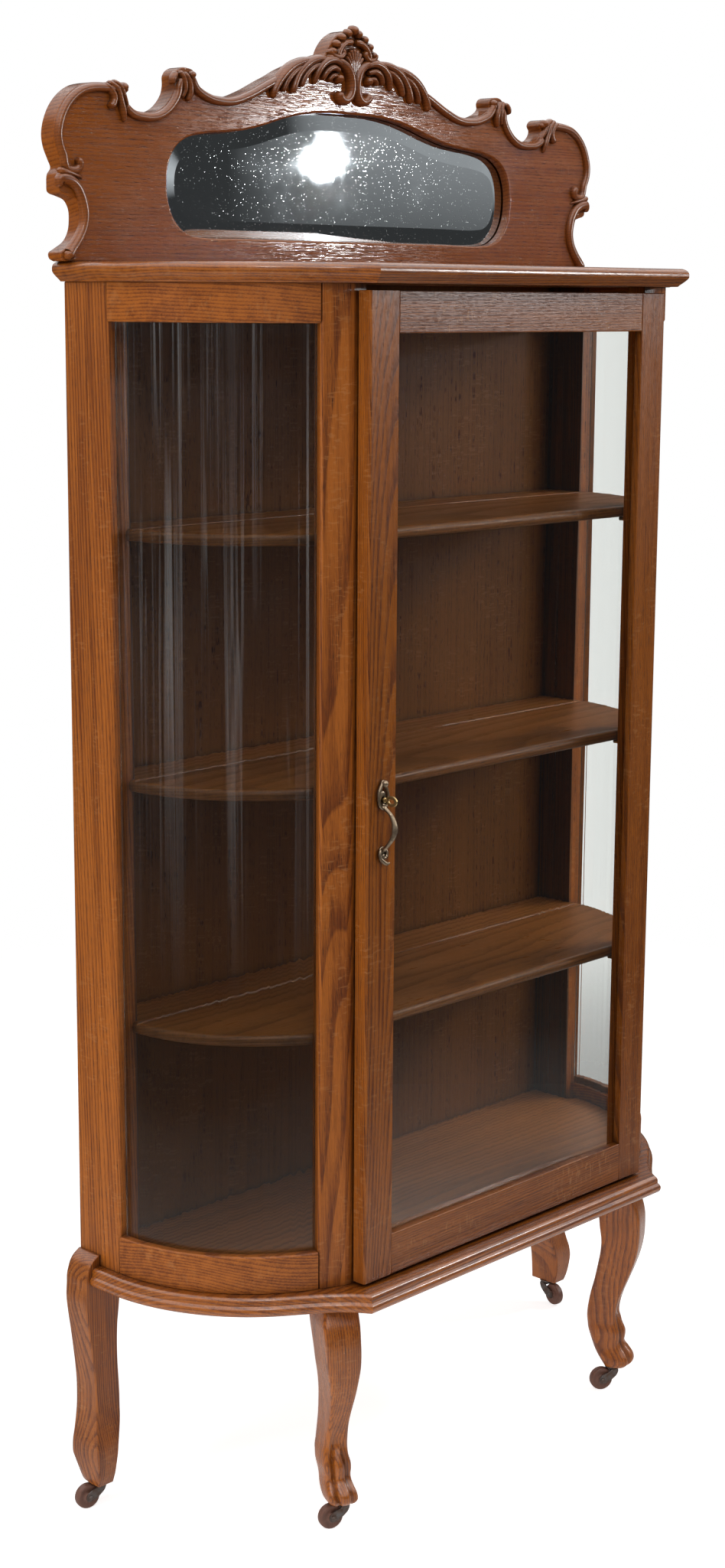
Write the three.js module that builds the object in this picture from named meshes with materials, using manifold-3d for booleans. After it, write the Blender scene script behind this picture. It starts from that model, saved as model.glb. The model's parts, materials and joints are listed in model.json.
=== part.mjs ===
import * as THREE from 'three';
import { mergeVertices } from 'three/addons/utils/BufferGeometryUtils.js';
import Module from 'manifold-3d';

// Antique oak china cabinet: a flat glass door between two bowed glass sides, mirrored crest,
// cabriole legs on casters. Millimetres, +Z up, origin at the bottom centre, front at -Y.
// Inside the cabinet group y = 0 is the back plane, and the group is moved back by half the depth.

const wasm = await Module();
wasm.setup();

// ---- driving dimensions ---------------------------------------------------------------------

const HALF_W = 434.5; // outer face of the posts
const POST_DEPTH = 36.8; // rear post, along y
const STILE_DEPTH = 34.4; // side stile, along y
const POST_T = 33; // rear post and side stile, along x
const REVEAL = 0.3; // between parts that meet on a slanted or shaped face
const SEAT = 0.05; // under a shaped piece that rests on a flat one
const BOW_R = 221; // outer face of the bowed sides
const BOW_TURN = 65.5; // degrees of the bow
const RAIL_T = 20; // thickness of the bowed rails
const POST_FACE = 36.2; // slanted face of the front post
const POST_FRONT_W = 22.2; // front post, the face behind the door
const FRONT_POST_T = 26; // front post, along y

const LEG_H = 288; // floor to the base board
const BASE_T = 24;
const CASE_H = 1146.5; // posts
const TOP_T = 21.5;
const FLOOR_T = 18;
const CORNER_IN = 4.2; // front corner of top and base, inside the post's corner
const CORNER_OUT = 29.4; // and in front of the posts, before the nose
const NOSE = 17; // how far the noses stand out

const SIDE_TOP_RAIL_H = 43;
const SIDE_BOTTOM_RAIL_H = 45.5;
const GLASS_T = 3;
const REBATE = 8; // depth of every glass rebate, along the frame member
const SIDE_GLASS_IN = 11; // outer face of the bow to the glass

const DOOR_LAP = 15; // door over each front post
const DOOR_GAP = 2.6; // post face to the back of the door
const DOOR_T = 18;
const DOOR_BELOW = 3.5; // clearances below and above the door
const DOOR_ABOVE = 7.5;
const DOOR_STILE = 46;
const DOOR_TOP_RAIL = 46;
const DOOR_BOTTOM_RAIL = 50;
const DOOR_LIP = 11; // front of the door to the glass

const SHELF_T = 14;
const SHELF_TOPS = [615.5, 902, 1188];
const SHELF_PLAY = 4.5; // beside the stiles and inside the bow
const SHELF_BACK = 18;
const SHELF_SET_IN = 2.6; // behind the front posts
const POST_CLEAR = 44; // room round each front post, from its inner edge
const GROOVE_BACK = 78; // plate groove, from the back plane
const GROOVE_W = 6;
const GROOVE_D = 3;

const BACK_T = 8;
const BACK_Y = 6; // rear face of the back panel

const CREST_T = 22;
const CREST_BACK = 3;
const CREST_LIP = 11; // front of the crest to the mirror
const MIRROR_T = 5;
const MIRROR_OVERLAP = 7;
const BACKING_T = 5;
const RIM_W = 9; // bead on the crest's face
const RIM_H = 6;
const RIM_EDGE = 0.6; // bead to the board's edge
const RIM_STOP = 124; // where the bead gives way to the carved leaves

const HINGE_ZS = [470, 1296];
const HINGE_H = 64;
const LEAF_W = 20;
const LEAF_T = 1.2;
const KNUCKLE_R = 3;
const HINGE_PIN_R = 1.6;
const BORE_GAP = 0.3; // radial clearance of pins, stems and axles
const HINGE_OUT = 5.3; // hinge pin, outside the door's edge

const PULL_IN = 23; // centre line of pull, key and lock, from the door's edge
const PULL_TOP = 908;
const KEY_DROP = 19; // key below the top of the pull
const KEY_R = 1.8;
const LOCK_GAP = 2; // lock to the front post
const LOCK_H = 54;
const LOCK_W = 22;
const LOCK_T = 12;
const BOLT_H = 14;
const BOLT_T = 4;
const BOLT_IN = 0.3; // the drawn-back bolt, behind the lock's edge
const MORTISE = 14; // depth of the bolt's mortise in the post
const KEY_BIT = 4.2; // reach of the key's bit
const BOLT_L = 16;

const WHEEL_R = 15.5;
const WHEEL_W = 12;
const TRAIL = 16;
const STEM_R = 4;
const STEM_L = 24;
const AXLE_R = 2;
const FOOT_Z = 33.5; // underside of every leg
const PLATE_T = 2;
const CHEEK_T = 2.4;

const PIN_R = 2.5;
const PIN_IN = 9; // length in the wood
const PIN_OUT = 13;

// ---- derived positions ----------------------------------------------------------------------

const deg = THREE.MathUtils.degToRad;
const BASE_Z = LEG_H + BASE_T;
const CASE_TOP = BASE_Z + CASE_H;
const TOP_Z = CASE_TOP + TOP_T;
const SIDE_FLAT = POST_DEPTH + STILE_DEPTH + REVEAL;
const BOW_X = HALF_W - BOW_R; // centre of the bow
const BOW_END_X = BOW_X + BOW_R * Math.cos(deg(BOW_TURN));
const BOW_END_Y = SIDE_FLAT + BOW_R * Math.sin(deg(BOW_TURN));
const POST_TILT = deg(90 - BOW_TURN);
const POST_CORNER_X = BOW_END_X - POST_FACE * Math.cos(POST_TILT);
const FRONT_Y = BOW_END_Y + POST_FACE * Math.sin(POST_TILT);
const FRONT_POST_IN = POST_CORNER_X - POST_FRONT_W;
const CORNER_X = POST_CORNER_X - CORNER_IN; // front corner of top and base
const CORNER_Y = FRONT_Y + CORNER_OUT;
const DOOR_HALF_W = FRONT_POST_IN + DOOR_LAP;
const DOOR_BACK = FRONT_Y + DOOR_GAP;
const DOOR_FRONT = DOOR_BACK + DOOR_T;
const DOOR_Z0 = BASE_Z + DOOR_BELOW;
const DOOR_Z1 = CASE_TOP - DOOR_ABOVE;
const DEPTH = CORNER_Y + NOSE;
const HINGE_X = DOOR_HALF_W + HINGE_OUT;
const HINGE_Y = FRONT_Y + KNUCKLE_R + 0.2;
const PULL_X = PULL_IN - DOOR_HALF_W;
const KEY_Z = PULL_TOP - KEY_DROP;
const SHELF_HALF_W = HALF_W - POST_T - SHELF_PLAY;
const SHELF_FRONT = FRONT_Y - FRONT_POST_T - SHELF_SET_IN;

// ---- materials ------------------------------------------------------------------------------

const wood = (color) => new THREE.MeshStandardMaterial({ color, roughness: 0.42, metalness: 0 });
const OAK = wood(0x8a5226);
const OAK_RED = wood(0x74422a);
const OAK_INNER = wood(0x6e4a2c);
const CARVED = wood(0x5e3420);
const GLASS = new THREE.MeshStandardMaterial({ color: 0xc9d6cf, roughness: 0.04, metalness: 0,
  transparent: true, opacity: 0.25 });
const SILVER = new THREE.MeshStandardMaterial({ color: 0xd8dcde, roughness: 0.05, metalness: 1 });
const PULL_METAL = new THREE.MeshStandardMaterial({ color: 0x96806a, roughness: 0.4, metalness: 1 });
const BRASS = new THREE.MeshStandardMaterial({ color: 0xb49a5c, roughness: 0.35, metalness: 1 });
const IRON = new THREE.MeshStandardMaterial({ color: 0x3c3838, roughness: 0.6, metalness: 0.8 });
const WHEEL_WOOD = new THREE.MeshStandardMaterial({ color: 0x553730, roughness: 0.6, metalness: 0 });

// ---- geometry helpers -----------------------------------------------------------------------

const v2 = (x, y) => new THREE.Vector2(x, y);
const mirrorX = (points, side) => points.map((p) => v2(p.x * side, p.y));

function mesh(name, geometry, material) {
  const m = new THREE.Mesh(geometry, material);
  m.name = name;
  return m;
}

function group(name, ...children) {
  const g = new THREE.Group();
  g.name = name;
  g.add(...children);
  return g;
}

function place(object, x, y, z, turn = 0) {
  object.position.set(x, y, z);
  object.rotation.z = turn;
  return object;
}

function box(x0, x1, y0, y1, z0, z1) {
  return new THREE.BoxGeometry(x1 - x0, y1 - y0, z1 - z0)
    .translate((x0 + x1) / 2, (y0 + y1) / 2, (z0 + z1) / 2);
}

// A plan outline extruded upwards from z0 to z1.
function prism(points, z0, z1) {
  const shape = new THREE.Shape(points);
  return new THREE.ExtrudeGeometry(shape, { depth: z1 - z0, bevelEnabled: false, steps: 1 })
    .translate(0, 0, z0);
}

// An upright outline (x, z) extruded from the plane y = back towards the front.
function upright(points, back, thickness) {
  return prism(points, 0, thickness).rotateX(Math.PI / 2).translate(0, back, 0);
}

function tidy(geometry) {
  const g = geometry.clone();
  g.deleteAttribute('normal');
  g.deleteAttribute('uv');
  return mergeVertices(g, 1e-4);
}

function solid(geometry) {
  const g = tidy(geometry);
  return new wasm.Manifold(new wasm.Mesh({ numProp: 3,
    vertProperties: new Float32Array(g.attributes.position.array),
    triVerts: new Uint32Array(g.index.array) }));
}

function toGeometry(manifold) {
  const m = manifold.getMesh();
  const g = new THREE.BufferGeometry();
  g.setAttribute('position', new THREE.BufferAttribute(new Float32Array(m.vertProperties), 3));
  g.setIndex(new THREE.BufferAttribute(new Uint32Array(m.triVerts), 1));
  g.computeVertexNormals();
  return g;
}

const union = (...parts) => toGeometry(parts.map(solid).reduce((a, b) => a.add(b)));
const cut = (body, ...tools) => toGeometry(tools.map(solid).reduce((a, b) => a.subtract(b), solid(body)));

// Joins rings of points (all the same count) into a closed body; empty triangles are left out.
function loft(rings, capAxes = ['x', 'y']) {
  const n = rings[0].length;
  const positions = rings.flat().flatMap((p) => [p.x, p.y, p.z]);
  const index = [];
  for (let k = 0; k + 1 < rings.length; k++) {
    for (let i = 0; i < n; i++) {
      const a = k * n + i;
      const b = k * n + (i + 1) % n;
      index.push(a, b, b + n, a, b + n, a + n);
    }
  }
  const capOf = (k, flip) => {
    const contour = rings[k].map((p) => v2(p[capAxes[0]], p[capAxes[1]]));
    const reversed = THREE.ShapeUtils.isClockWise(contour);
    const order = contour.map((_, i) => (reversed ? n - 1 - i : i));
    for (const t of THREE.ShapeUtils.triangulateShape(order.map((i) => contour[i]), [])) {
      const [a, b, c] = t.map((i) => k * n + order[i]);
      if (flip !== reversed) index.push(a, c, b);
      else index.push(a, b, c);
    }
  };
  capOf(0, true);
  capOf(rings.length - 1, false);
  const g = new THREE.BufferGeometry();
  g.setAttribute('position', new THREE.Float32BufferAttribute(positions, 3));
  g.setIndex(index);
  return outward(mergeVertices(g, 1e-4));
}

function outward(g) {
  const p = g.attributes.position;
  const [a, b, c] = [0, 1, 2].map(() => new THREE.Vector3());
  const kept = [];
  let volume = 0;
  for (let i = 0; i < g.index.count; i += 3) {
    const t = [g.index.getX(i), g.index.getX(i + 1), g.index.getX(i + 2)];
    if (t[0] === t[1] || t[1] === t[2] || t[0] === t[2]) continue;
    a.fromBufferAttribute(p, t[0]);
    b.fromBufferAttribute(p, t[1]);
    c.fromBufferAttribute(p, t[2]);
    volume += a.dot(b.clone().cross(c));
    kept.push(t);
  }
  g.setIndex(kept.flatMap((t) => (volume < 0 ? [t[0], t[2], t[1]] : t)));
  g.computeVertexNormals();
  return g;
}

function spline(points, divisions, closed = false) {
  const curve = new THREE.CatmullRomCurve3(
    points.map(([x, y]) => new THREE.Vector3(x, y, 0)), closed, 'centripetal');
  return curve.getPoints(divisions).map((p) => v2(p.x, p.y));
}

const roundBar = (radius, length, segments = 12) =>
  new THREE.CylinderGeometry(radius, radius, length, segments);

// ---- plan of the case -----------------------------------------------------------------------

function bowPoint(angle, radius, side) {
  return v2(side * (BOW_X + radius * Math.cos(deg(angle))), -SIDE_FLAT - radius * Math.sin(deg(angle)));
}

// Half outline of top and base on the left, from the back to the front corner, before the nose.
function halfOutline() {
  const points = [v2(-HALF_W, -POST_DEPTH - REVEAL), v2(-HALF_W, -SIDE_FLAT)];
  const bowStop = 55;
  for (let a = 5; a <= bowStop; a += 5) points.push(bowPoint(a, BOW_R, -1));
  const start = points[points.length - 1];
  const lead = 28;
  const curve = new THREE.CubicBezierCurve(start,
    v2(start.x + lead * Math.sin(deg(bowStop)), start.y - lead * Math.cos(deg(bowStop))),
    v2(-CORNER_X - lead * Math.cos(deg(60)), -CORNER_Y + lead * Math.sin(deg(60))),
    v2(-CORNER_X, -CORNER_Y));
  points.push(...curve.getPoints(6).slice(1));
  return points;
}

// The half outline moved out by a distance, with the front corner mitred.
function offsetHalf(points, d) {
  return points.map((p, i) => {
    const before = i > 0 ? p.clone().sub(points[i - 1]) : points[1].clone().sub(p);
    const after = i < points.length - 1 ? points[i + 1].clone().sub(p) : v2(1, 0);
    const [n0, n1] = [before, after].map((s) => v2(s.y, -s.x).normalize());
    const mid = n0.clone().add(n1).normalize();
    return p.clone().addScaledVector(mid, d / Math.max(0.5, mid.dot(n0)));
  });
}

// A board with a moulded nose: profile rows are [offset, height].
function mouldedBoard(profile, z0, backPoints) {
  const half = halfOutline();
  const rings = profile.map(([d, z]) => {
    const left = [...backPoints(d), ...offsetHalf(half, d)];
    const right = [...left].reverse().map((p) => v2(-p.x, p.y));
    return [...left, ...right].map((p) => new THREE.Vector3(p.x, p.y, z0 + z));
  });
  return loft(rings);
}

// ---- crest ----------------------------------------------------------------------------------

// Right half of the crest's outline, from the foot to the top of the middle; (x, z above the top board).
const CREST_EDGE = [[452, 0], [458, 3], [459, 9], [451, 14], [438, 22], [431, 33], [429, 45], [430, 57],
  [436, 66], [447, 70], [459, 74], [460, 82], [459, 93], [454, 100], [458, 109], [464, 122], [466, 135],
  [463, 150], [455, 166], [443, 179], [428, 188], [411, 192], [395, 193], [381, 193], [371, 195],
  [363, 193], [359, 187], [363, 181], [361, 175], [355, 169], [347, 166], [337, 165], [326, 165],
  [316, 167], [306, 172], [297, 180], [291, 189], [289, 198], [289, 207], [285, 213], [277, 217],
  [268, 217], [260, 215], [256, 209], [257, 203], [250, 197], [241, 193], [230, 190], [218, 189],
  [206, 189], [194, 191], [182, 195], [169, 200], [156, 206], [143, 212], [129, 218], [115, 225],
  [100, 231], [84, 237], [67, 242], [54, 244], [46, 247], [40, 257], [30, 268], [16, 276], [0, 279]];

// Right half of the mirror opening, from the bottom middle to the top middle.
const OPENING_EDGE = [[0, 30], [90, 30], [180, 30], [246, 30], [270, 34], [288, 47], [298, 66], [301, 88],
  [298, 110], [288, 128], [270, 140], [244, 146], [214, 149], [180, 153], [148, 160], [116, 169],
  [84, 176], [48, 180], [0, 181]];

const CREST_SPAN = HALF_W / 434.5; // the tables above are for posts 434.5 out from the middle
const widen = ([x, z]) => [x * CREST_SPAN, z];

function crestOutline() {
  const half = spline(CREST_EDGE.map(widen), 110);
  half[half.length - 1].x = 0;
  return [...half, ...half.slice(0, -1).reverse().map((p) => v2(-p.x, p.y))];
}

function openingOutline(grow) {
  const half = spline(OPENING_EDGE.map(widen), 30);
  half[0].x = 0;
  half[half.length - 1].x = 0;
  const loop = [...half, ...half.slice(1, -1).reverse().map((p) => v2(-p.x, p.y))];
  return loop.map((p, i) => {
    const s = loop[(i + 1) % loop.length].clone().sub(loop[(i + loop.length - 1) % loop.length]);
    return p.clone().addScaledVector(v2(s.y, -s.x).normalize(), grow);
  });
}

// A raised round bead on the face of one half, following the edge from the foot to the leaves.
function rim(side) {
  const edge = crestOutline();
  const inset = edge.map((p, i) => {
    const s = edge[Math.min(i + 1, edge.length - 1)].clone().sub(edge[Math.max(i - 1, 0)]);
    return p.clone().addScaledVector(v2(-s.y, s.x).normalize(), RIM_W / 2 + RIM_EDGE);
  });
  const clear = inset.filter((p) => p.x * side > RIM_STOP && p.y > RIM_W
    && edge.every((q) => q.distanceTo(p) > RIM_W / 2));
  const path = clear.filter((p, i) => i % 2 === 0);
  const face = CREST_BACK + CREST_T;
  return loftOpen(path.map((p, i) => {
    const along = path[Math.min(i + 1, path.length - 1)].clone().sub(path[Math.max(i - 1, 0)]);
    const across = v2(-along.y, along.x).normalize();
    return [[-1, -1.4], [-1, 0], [-0.5, 0.85], [0.5, 0.85], [1, 0], [1, -1.4]].map(([k, h]) => {
      const q = p.clone().addScaledVector(across, k * RIM_W / 2);
      return new THREE.Vector3(q.x, -face - (h > 0 ? h * RIM_H : h), TOP_Z + q.y);
    });
  }));
}

// A lofted bar whose end sections may face any way: the ends are closed by fans.
function loftOpen(rings) {
  const n = rings[0].length;
  const positions = rings.flat().flatMap((p) => [p.x, p.y, p.z]);
  const index = [];
  for (let k = 0; k + 1 < rings.length; k++) {
    for (let i = 0; i < n; i++) {
      const a = k * n + i;
      const b = k * n + (i + 1) % n;
      index.push(a, b, b + n, a, b + n, a + n);
    }
  }
  const last = (rings.length - 1) * n;
  for (let i = 1; i + 1 < n; i++) index.push(0, i + 1, i, last, last + i, last + i + 1);
  const g = new THREE.BufferGeometry();
  g.setAttribute('position', new THREE.Float32BufferAttribute(positions, 3));
  g.setIndex(index);
  return outward(mergeVertices(g, 1e-4));
}

function crestBoard() {
  const back = -CREST_BACK;
  const outline = crestOutline().map((p) => v2(p.x, TOP_Z + p.y));
  const raise = (points) => points.map((p) => v2(p.x, TOP_Z + p.y));
  const board = upright(outline, back, CREST_T);
  const opening = upright(raise(openingOutline(0)), back + 1, CREST_T + 2);
  const seat = openingOutline(MIRROR_OVERLAP + REVEAL);
  const pocket = upright(raise(seat), back + 1, CREST_T - CREST_LIP + 1);
  return mesh('crest_board', cut(union(board, rim(1), rim(-1)), opening, pocket), OAK_RED);
}

function crestMirror() {
  const outline = openingOutline(MIRROR_OVERLAP).map((p) => v2(p.x, TOP_Z + p.y));
  const back = -(CREST_BACK + CREST_T - CREST_LIP - MIRROR_T);
  return mesh('crest_mirror', upright(outline, back, MIRROR_T), SILVER);
}

function mirrorBacking() {
  const outline = openingOutline(MIRROR_OVERLAP).map((p) => v2(p.x, TOP_Z + p.y));
  const back = -(CREST_BACK + CREST_T - CREST_LIP - MIRROR_T - BACKING_T);
  return mesh('mirror_backing', upright(outline, back, BACKING_T), OAK_INNER);
}

// A tapering leaf or scroll on the face of the crest: [x, z, half width, height] along its spine.
function leaf(spine, face) {
  const rings = spine.map(([x, z, w, h], i) => {
    const a = spine[Math.max(i - 1, 0)];
    const b = spine[Math.min(i + 1, spine.length - 1)];
    const s = v2(b[0] - a[0], b[1] - a[1]).normalize();
    return [[-1, 0], [-0.75, 0.7], [0, 1], [0.75, 0.7], [1, 0]].map(([k, up]) =>
      new THREE.Vector3(x - s.y * w * k, face - h * up, TOP_Z + z + s.x * w * k));
  });
  return loftOpen(rings);
}

function crestCarving() {
  const face = -(CREST_BACK + CREST_T);
  const scrolls = [
    [[3, 200, 5, 7], [4, 214, 7, 10], [14, 230, 8, 11], [30, 236, 7, 11], [42, 228, 6, 10],
      [46, 216, 5, 8]],
    [[28, 232, 6, 8], [44, 232, 7, 9], [60, 222, 6, 9], [66, 208, 3, 6]],
    [[44, 234, 5, 8], [64, 230, 7, 9], [82, 216, 6, 9], [92, 200, 3, 6]],
    [[62, 234, 5, 8], [86, 226, 6, 9], [106, 208, 6, 8], [118, 190, 3, 5]],
    [[6, 196, 5, 6], [12, 186, 6, 8], [22, 184, 6, 9], [28, 192, 6, 9], [24, 200, 4, 7]],
  ];
  const parts = [leaf([[0, 190, 5, 6], [0, 206, 12, 10], [0, 224, 22, 12], [0, 244, 25, 12],
    [0, 262, 20, 10], [0, 276, 8, 6]], face)];
  for (const side of [-1, 1]) {
    for (const s of scrolls) parts.push(leaf(s.map(([x, z, w, h]) => [side * x, z, w, h]), face));
  }
  for (const a of [-78, -52, -26, 0, 26, 52, 78]) {
    parts.push(new THREE.SphereGeometry(8, 8, 6).scale(1, 1.1, 1).translate(
      29 * Math.sin(deg(a)), face - 6, TOP_Z + 247 + 30 * Math.cos(deg(a))));
  }
  const limit = 200;
  const behind = box(-limit, limit, face, face + limit, TOP_Z, TOP_Z + 2 * limit);
  return mesh('crest_carving', cut(union(...parts), behind), CARVED);
}

// ---- boards ---------------------------------------------------------------------------------

function topBoard() {
  const profile = [[5, 0], [6.5, 1.5], [11, 5], [15, 8.5], [NOSE, 11.5], [NOSE, 14.5], [16, 17.5],
    [13.5, 20], [9.5, TOP_T]];
  return mesh('top_board', mouldedBoard(profile, CASE_TOP, (d) => [v2(-HALF_W - d, 0)]), OAK);
}

function baseBoard() {
  const profile = [[8, 0], [13, 1.5], [16, 4.5], [NOSE, 8.5], [16, 12], [13.5, 14.5], [13.2, 17],
    [12.5, 20], [10.5, 22.5], [8.5, BASE_T]];
  const back = [v2(-HALF_W + REVEAL, 0), v2(-HALF_W + REVEAL, -POST_DEPTH)];
  return mesh('base_board', mouldedBoard(profile, LEG_H, () => back), OAK);
}

// Plan of a shelf or of the floor, inside the bow at the given radius.
function innerPlan(halfWidth, back, radius, front) {
  const left = [v2(-halfWidth, -back), v2(-halfWidth, -SIDE_FLAT - 4)];
  for (let a = 4; a <= 48; a += 4) left.push(bowPoint(a, radius, -1));
  left.push(v2(-FRONT_POST_IN - POST_CLEAR, -front + 4), v2(-FRONT_POST_IN + 14, -front));
  return [...left, ...[...left].reverse().map((p) => v2(-p.x, p.y))];
}

function floorBoard() {
  const plan = innerPlan(HALF_W - POST_T - 1.5, BACK_Y + BACK_T + REVEAL, BOW_R - RAIL_T - 1.5,
    FRONT_Y - FRONT_POST_T - 2);
  return mesh('floor_board', prism(plan, BASE_Z, BASE_Z + FLOOR_T), OAK_INNER);
}

function shelf(name, top) {
  const plan = innerPlan(SHELF_HALF_W, SHELF_BACK, BOW_R - RAIL_T - SHELF_PLAY, SHELF_FRONT);
  const groove = box(-SHELF_HALF_W, SHELF_HALF_W, -GROOVE_BACK - GROOVE_W, -GROOVE_BACK,
    top - GROOVE_D, top + GROOVE_D);
  return mesh(name, cut(prism(plan, top - SHELF_T, top), groove), OAK_INNER);
}

function backPanel() {
  const half = HALF_W - POST_T;
  return mesh('back_panel', box(-half, half, -BACK_Y - BACK_T, -BACK_Y, BASE_Z, CASE_TOP), OAK_INNER);
}

// ---- posts and bowed sides ------------------------------------------------------------------

const nameOf = (base, side) => `${base}_${side < 0 ? 'left' : 'right'}`;

function rearPost(side) {
  const plan = [v2(HALF_W - POST_T, 0), v2(HALF_W, 0), v2(HALF_W, -POST_DEPTH),
    v2(HALF_W - POST_T, -POST_DEPTH)];
  return mesh(nameOf('rear_post', side), prism(mirrorX(plan, side), BASE_Z, CASE_TOP), OAK);
}

function sideStile(side) {
  const back = POST_DEPTH + REVEAL;
  const chamfer = 3;
  const plan = [v2(HALF_W - POST_T, -back), v2(HALF_W, -back), v2(HALF_W, -SIDE_FLAT + chamfer),
    v2(HALF_W - chamfer, -SIDE_FLAT), v2(HALF_W - POST_T, -SIDE_FLAT)];
  const y = -(back + STILE_DEPTH / 2);
  const holes = SHELF_TOPS.map((top) => pinHole()
    .rotateZ(side > 0 ? Math.PI / 2 : -Math.PI / 2)
    .translate(side * (HALF_W - POST_T), y, pinZ(top)));
  const body = prism(mirrorX(plan, side), BASE_Z, CASE_TOP);
  return mesh(nameOf('side_stile', side), cut(body, ...holes), OAK);
}

function frontPost(side) {
  const joint = RAIL_T;
  const round = 3;
  const inward = v2(-Math.cos(deg(BOW_TURN)), Math.sin(deg(BOW_TURN)));
  const along = v2(-Math.cos(POST_TILT), -Math.sin(POST_TILT));
  const start = v2(BOW_END_X, -BOW_END_Y);
  const corner = v2(POST_CORNER_X, -FRONT_Y);
  const rear = -FRONT_Y + FRONT_POST_T;
  const plan = [
    start.clone().addScaledVector(inward, round),
    start.clone().addScaledVector(along, round),
    corner.clone().addScaledVector(along, -round),
    corner.clone().add(v2(-round, 0)),
    v2(FRONT_POST_IN, -FRONT_Y), v2(FRONT_POST_IN, rear), v2(POST_CORNER_X + 12, rear),
    start.clone().addScaledVector(inward, joint),
  ];
  const post = prism(mirrorX(plan, side), BASE_Z, CASE_TOP);
  const holes = SHELF_TOPS.map((top) => pinHole().translate(side * FRONT_PIN_X, rear, pinZ(top)));
  if (side < 0) {
    const mortise = BOLT_H / 2 + 2;
    holes.push(box(-FRONT_POST_IN - MORTISE, -FRONT_POST_IN + 1, -BOLT_Y - BOLT_T / 2 - 1,
      -BOLT_Y + BOLT_T / 2 + 1, KEY_Z - mortise, KEY_Z + mortise));
  }
  return mesh(nameOf('front_post', side), cut(post, ...holes), OAK);
}

// A section of (radius, z) points swept along the bow of one side.
function bowed(section, side, from, to, steps) {
  const rings = Array.from({ length: steps + 1 }, (_, k) => {
    const angle = from + (to - from) * k / steps;
    return section.map(([r, z]) => {
      const p = bowPoint(angle, r, side);
      return new THREE.Vector3(p.x, p.y, z);
    });
  });
  return loft(rings, ['x', 'z']);
}

const END_ANGLE = THREE.MathUtils.radToDeg(REVEAL / BOW_R);

function sideRails(side) {
  const glassR = BOW_R - SIDE_GLASS_IN;
  const soft = 3;
  const rail = (z, h, up) => [[BOW_R - RAIL_T, z], [BOW_R, z], [BOW_R, z + up * (h - soft)],
    [BOW_R - soft, z + up * h], [glassR, z + up * h], [glassR, z + up * (h - REBATE)],
    [BOW_R - RAIL_T, z + up * (h - REBATE)]];
  const to = BOW_TURN - END_ANGLE;
  const low = bowed(rail(BASE_Z, SIDE_BOTTOM_RAIL_H, 1), side, END_ANGLE, to, 12);
  const high = bowed(rail(CASE_TOP, SIDE_TOP_RAIL_H, -1), side, END_ANGLE, to, 12);
  return [mesh(nameOf('side_bottom_rail', side), low, OAK),
    mesh(nameOf('side_top_rail', side), high, OAK)];
}

function sideGlass(side) {
  const outer = BOW_R - SIDE_GLASS_IN - REVEAL;
  const z0 = BASE_Z + SIDE_BOTTOM_RAIL_H - REBATE;
  const z1 = CASE_TOP - SIDE_TOP_RAIL_H + REBATE - REVEAL;
  const section = [[outer - GLASS_T, z0], [outer, z0], [outer, z1], [outer - GLASS_T, z1]];
  const pane = bowed(section, side, END_ANGLE, BOW_TURN - END_ANGLE, 16);
  return mesh(nameOf('side_glass', side), pane, GLASS);
}

// ---- shelf pins -----------------------------------------------------------------------------

const FRONT_PIN_X = FRONT_POST_IN + 10;
const pinZ = (top) => top - SHELF_T - PIN_R - 0.05;

// Along +y: in the wood for y < 0, out under the shelf for y > 0.
function pinShape() {
  const collar = 1.4;
  const profile = [v2(0, -PIN_IN), v2(PIN_R - 0.1, -PIN_IN), v2(PIN_R - 0.1, 0), v2(PIN_R + 1.6, 0),
    v2(PIN_R + 1.6, collar), v2(PIN_R, collar), v2(PIN_R, PIN_OUT), v2(0, PIN_OUT)];
  return new THREE.LatheGeometry(profile, 8);
}

const pinHole = () => roundBar(PIN_R + 0.2, 2 * PIN_IN + 1, 8);

function shelfPins() {
  const pins = [];
  SHELF_TOPS.forEach((top, k) => {
    for (const side of [-1, 1]) {
      const rear = mesh(nameOf(`pin_rear_${k + 1}`, side), pinShape(), BRASS);
      rear.position.set(side * (HALF_W - POST_T), -(POST_DEPTH + REVEAL + STILE_DEPTH / 2), pinZ(top));
      rear.rotation.z = side > 0 ? Math.PI / 2 : -Math.PI / 2;
      const front = mesh(nameOf(`pin_front_${k + 1}`, side), pinShape(), BRASS);
      front.position.set(side * FRONT_PIN_X, -FRONT_Y + FRONT_POST_T, pinZ(top));
      pins.push(rear, front);
    }
  });
  return pins;
}

// ---- door -----------------------------------------------------------------------------------

function doorStile(side) {
  const inner = DOOR_HALF_W - DOOR_STILE;
  const lip = -DOOR_FRONT + DOOR_LIP;
  const soft = 2;
  const plan = [v2(DOOR_HALF_W, -DOOR_BACK), v2(DOOR_HALF_W, -DOOR_FRONT + soft),
    v2(DOOR_HALF_W - soft, -DOOR_FRONT), v2(inner, -DOOR_FRONT), v2(inner, lip),
    v2(inner + REBATE, lip), v2(inner + REBATE, -DOOR_BACK)];
  let body = prism(mirrorX(plan, side), DOOR_Z0, DOOR_Z1);
  if (side < 0) {
    body = cut(body, roundBar(KEY_R + 0.8, 3 * DOOR_T).translate(PULL_X, -DOOR_BACK, KEY_Z));
  }
  return mesh(nameOf('door_stile', side), body, OAK);
}

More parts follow.
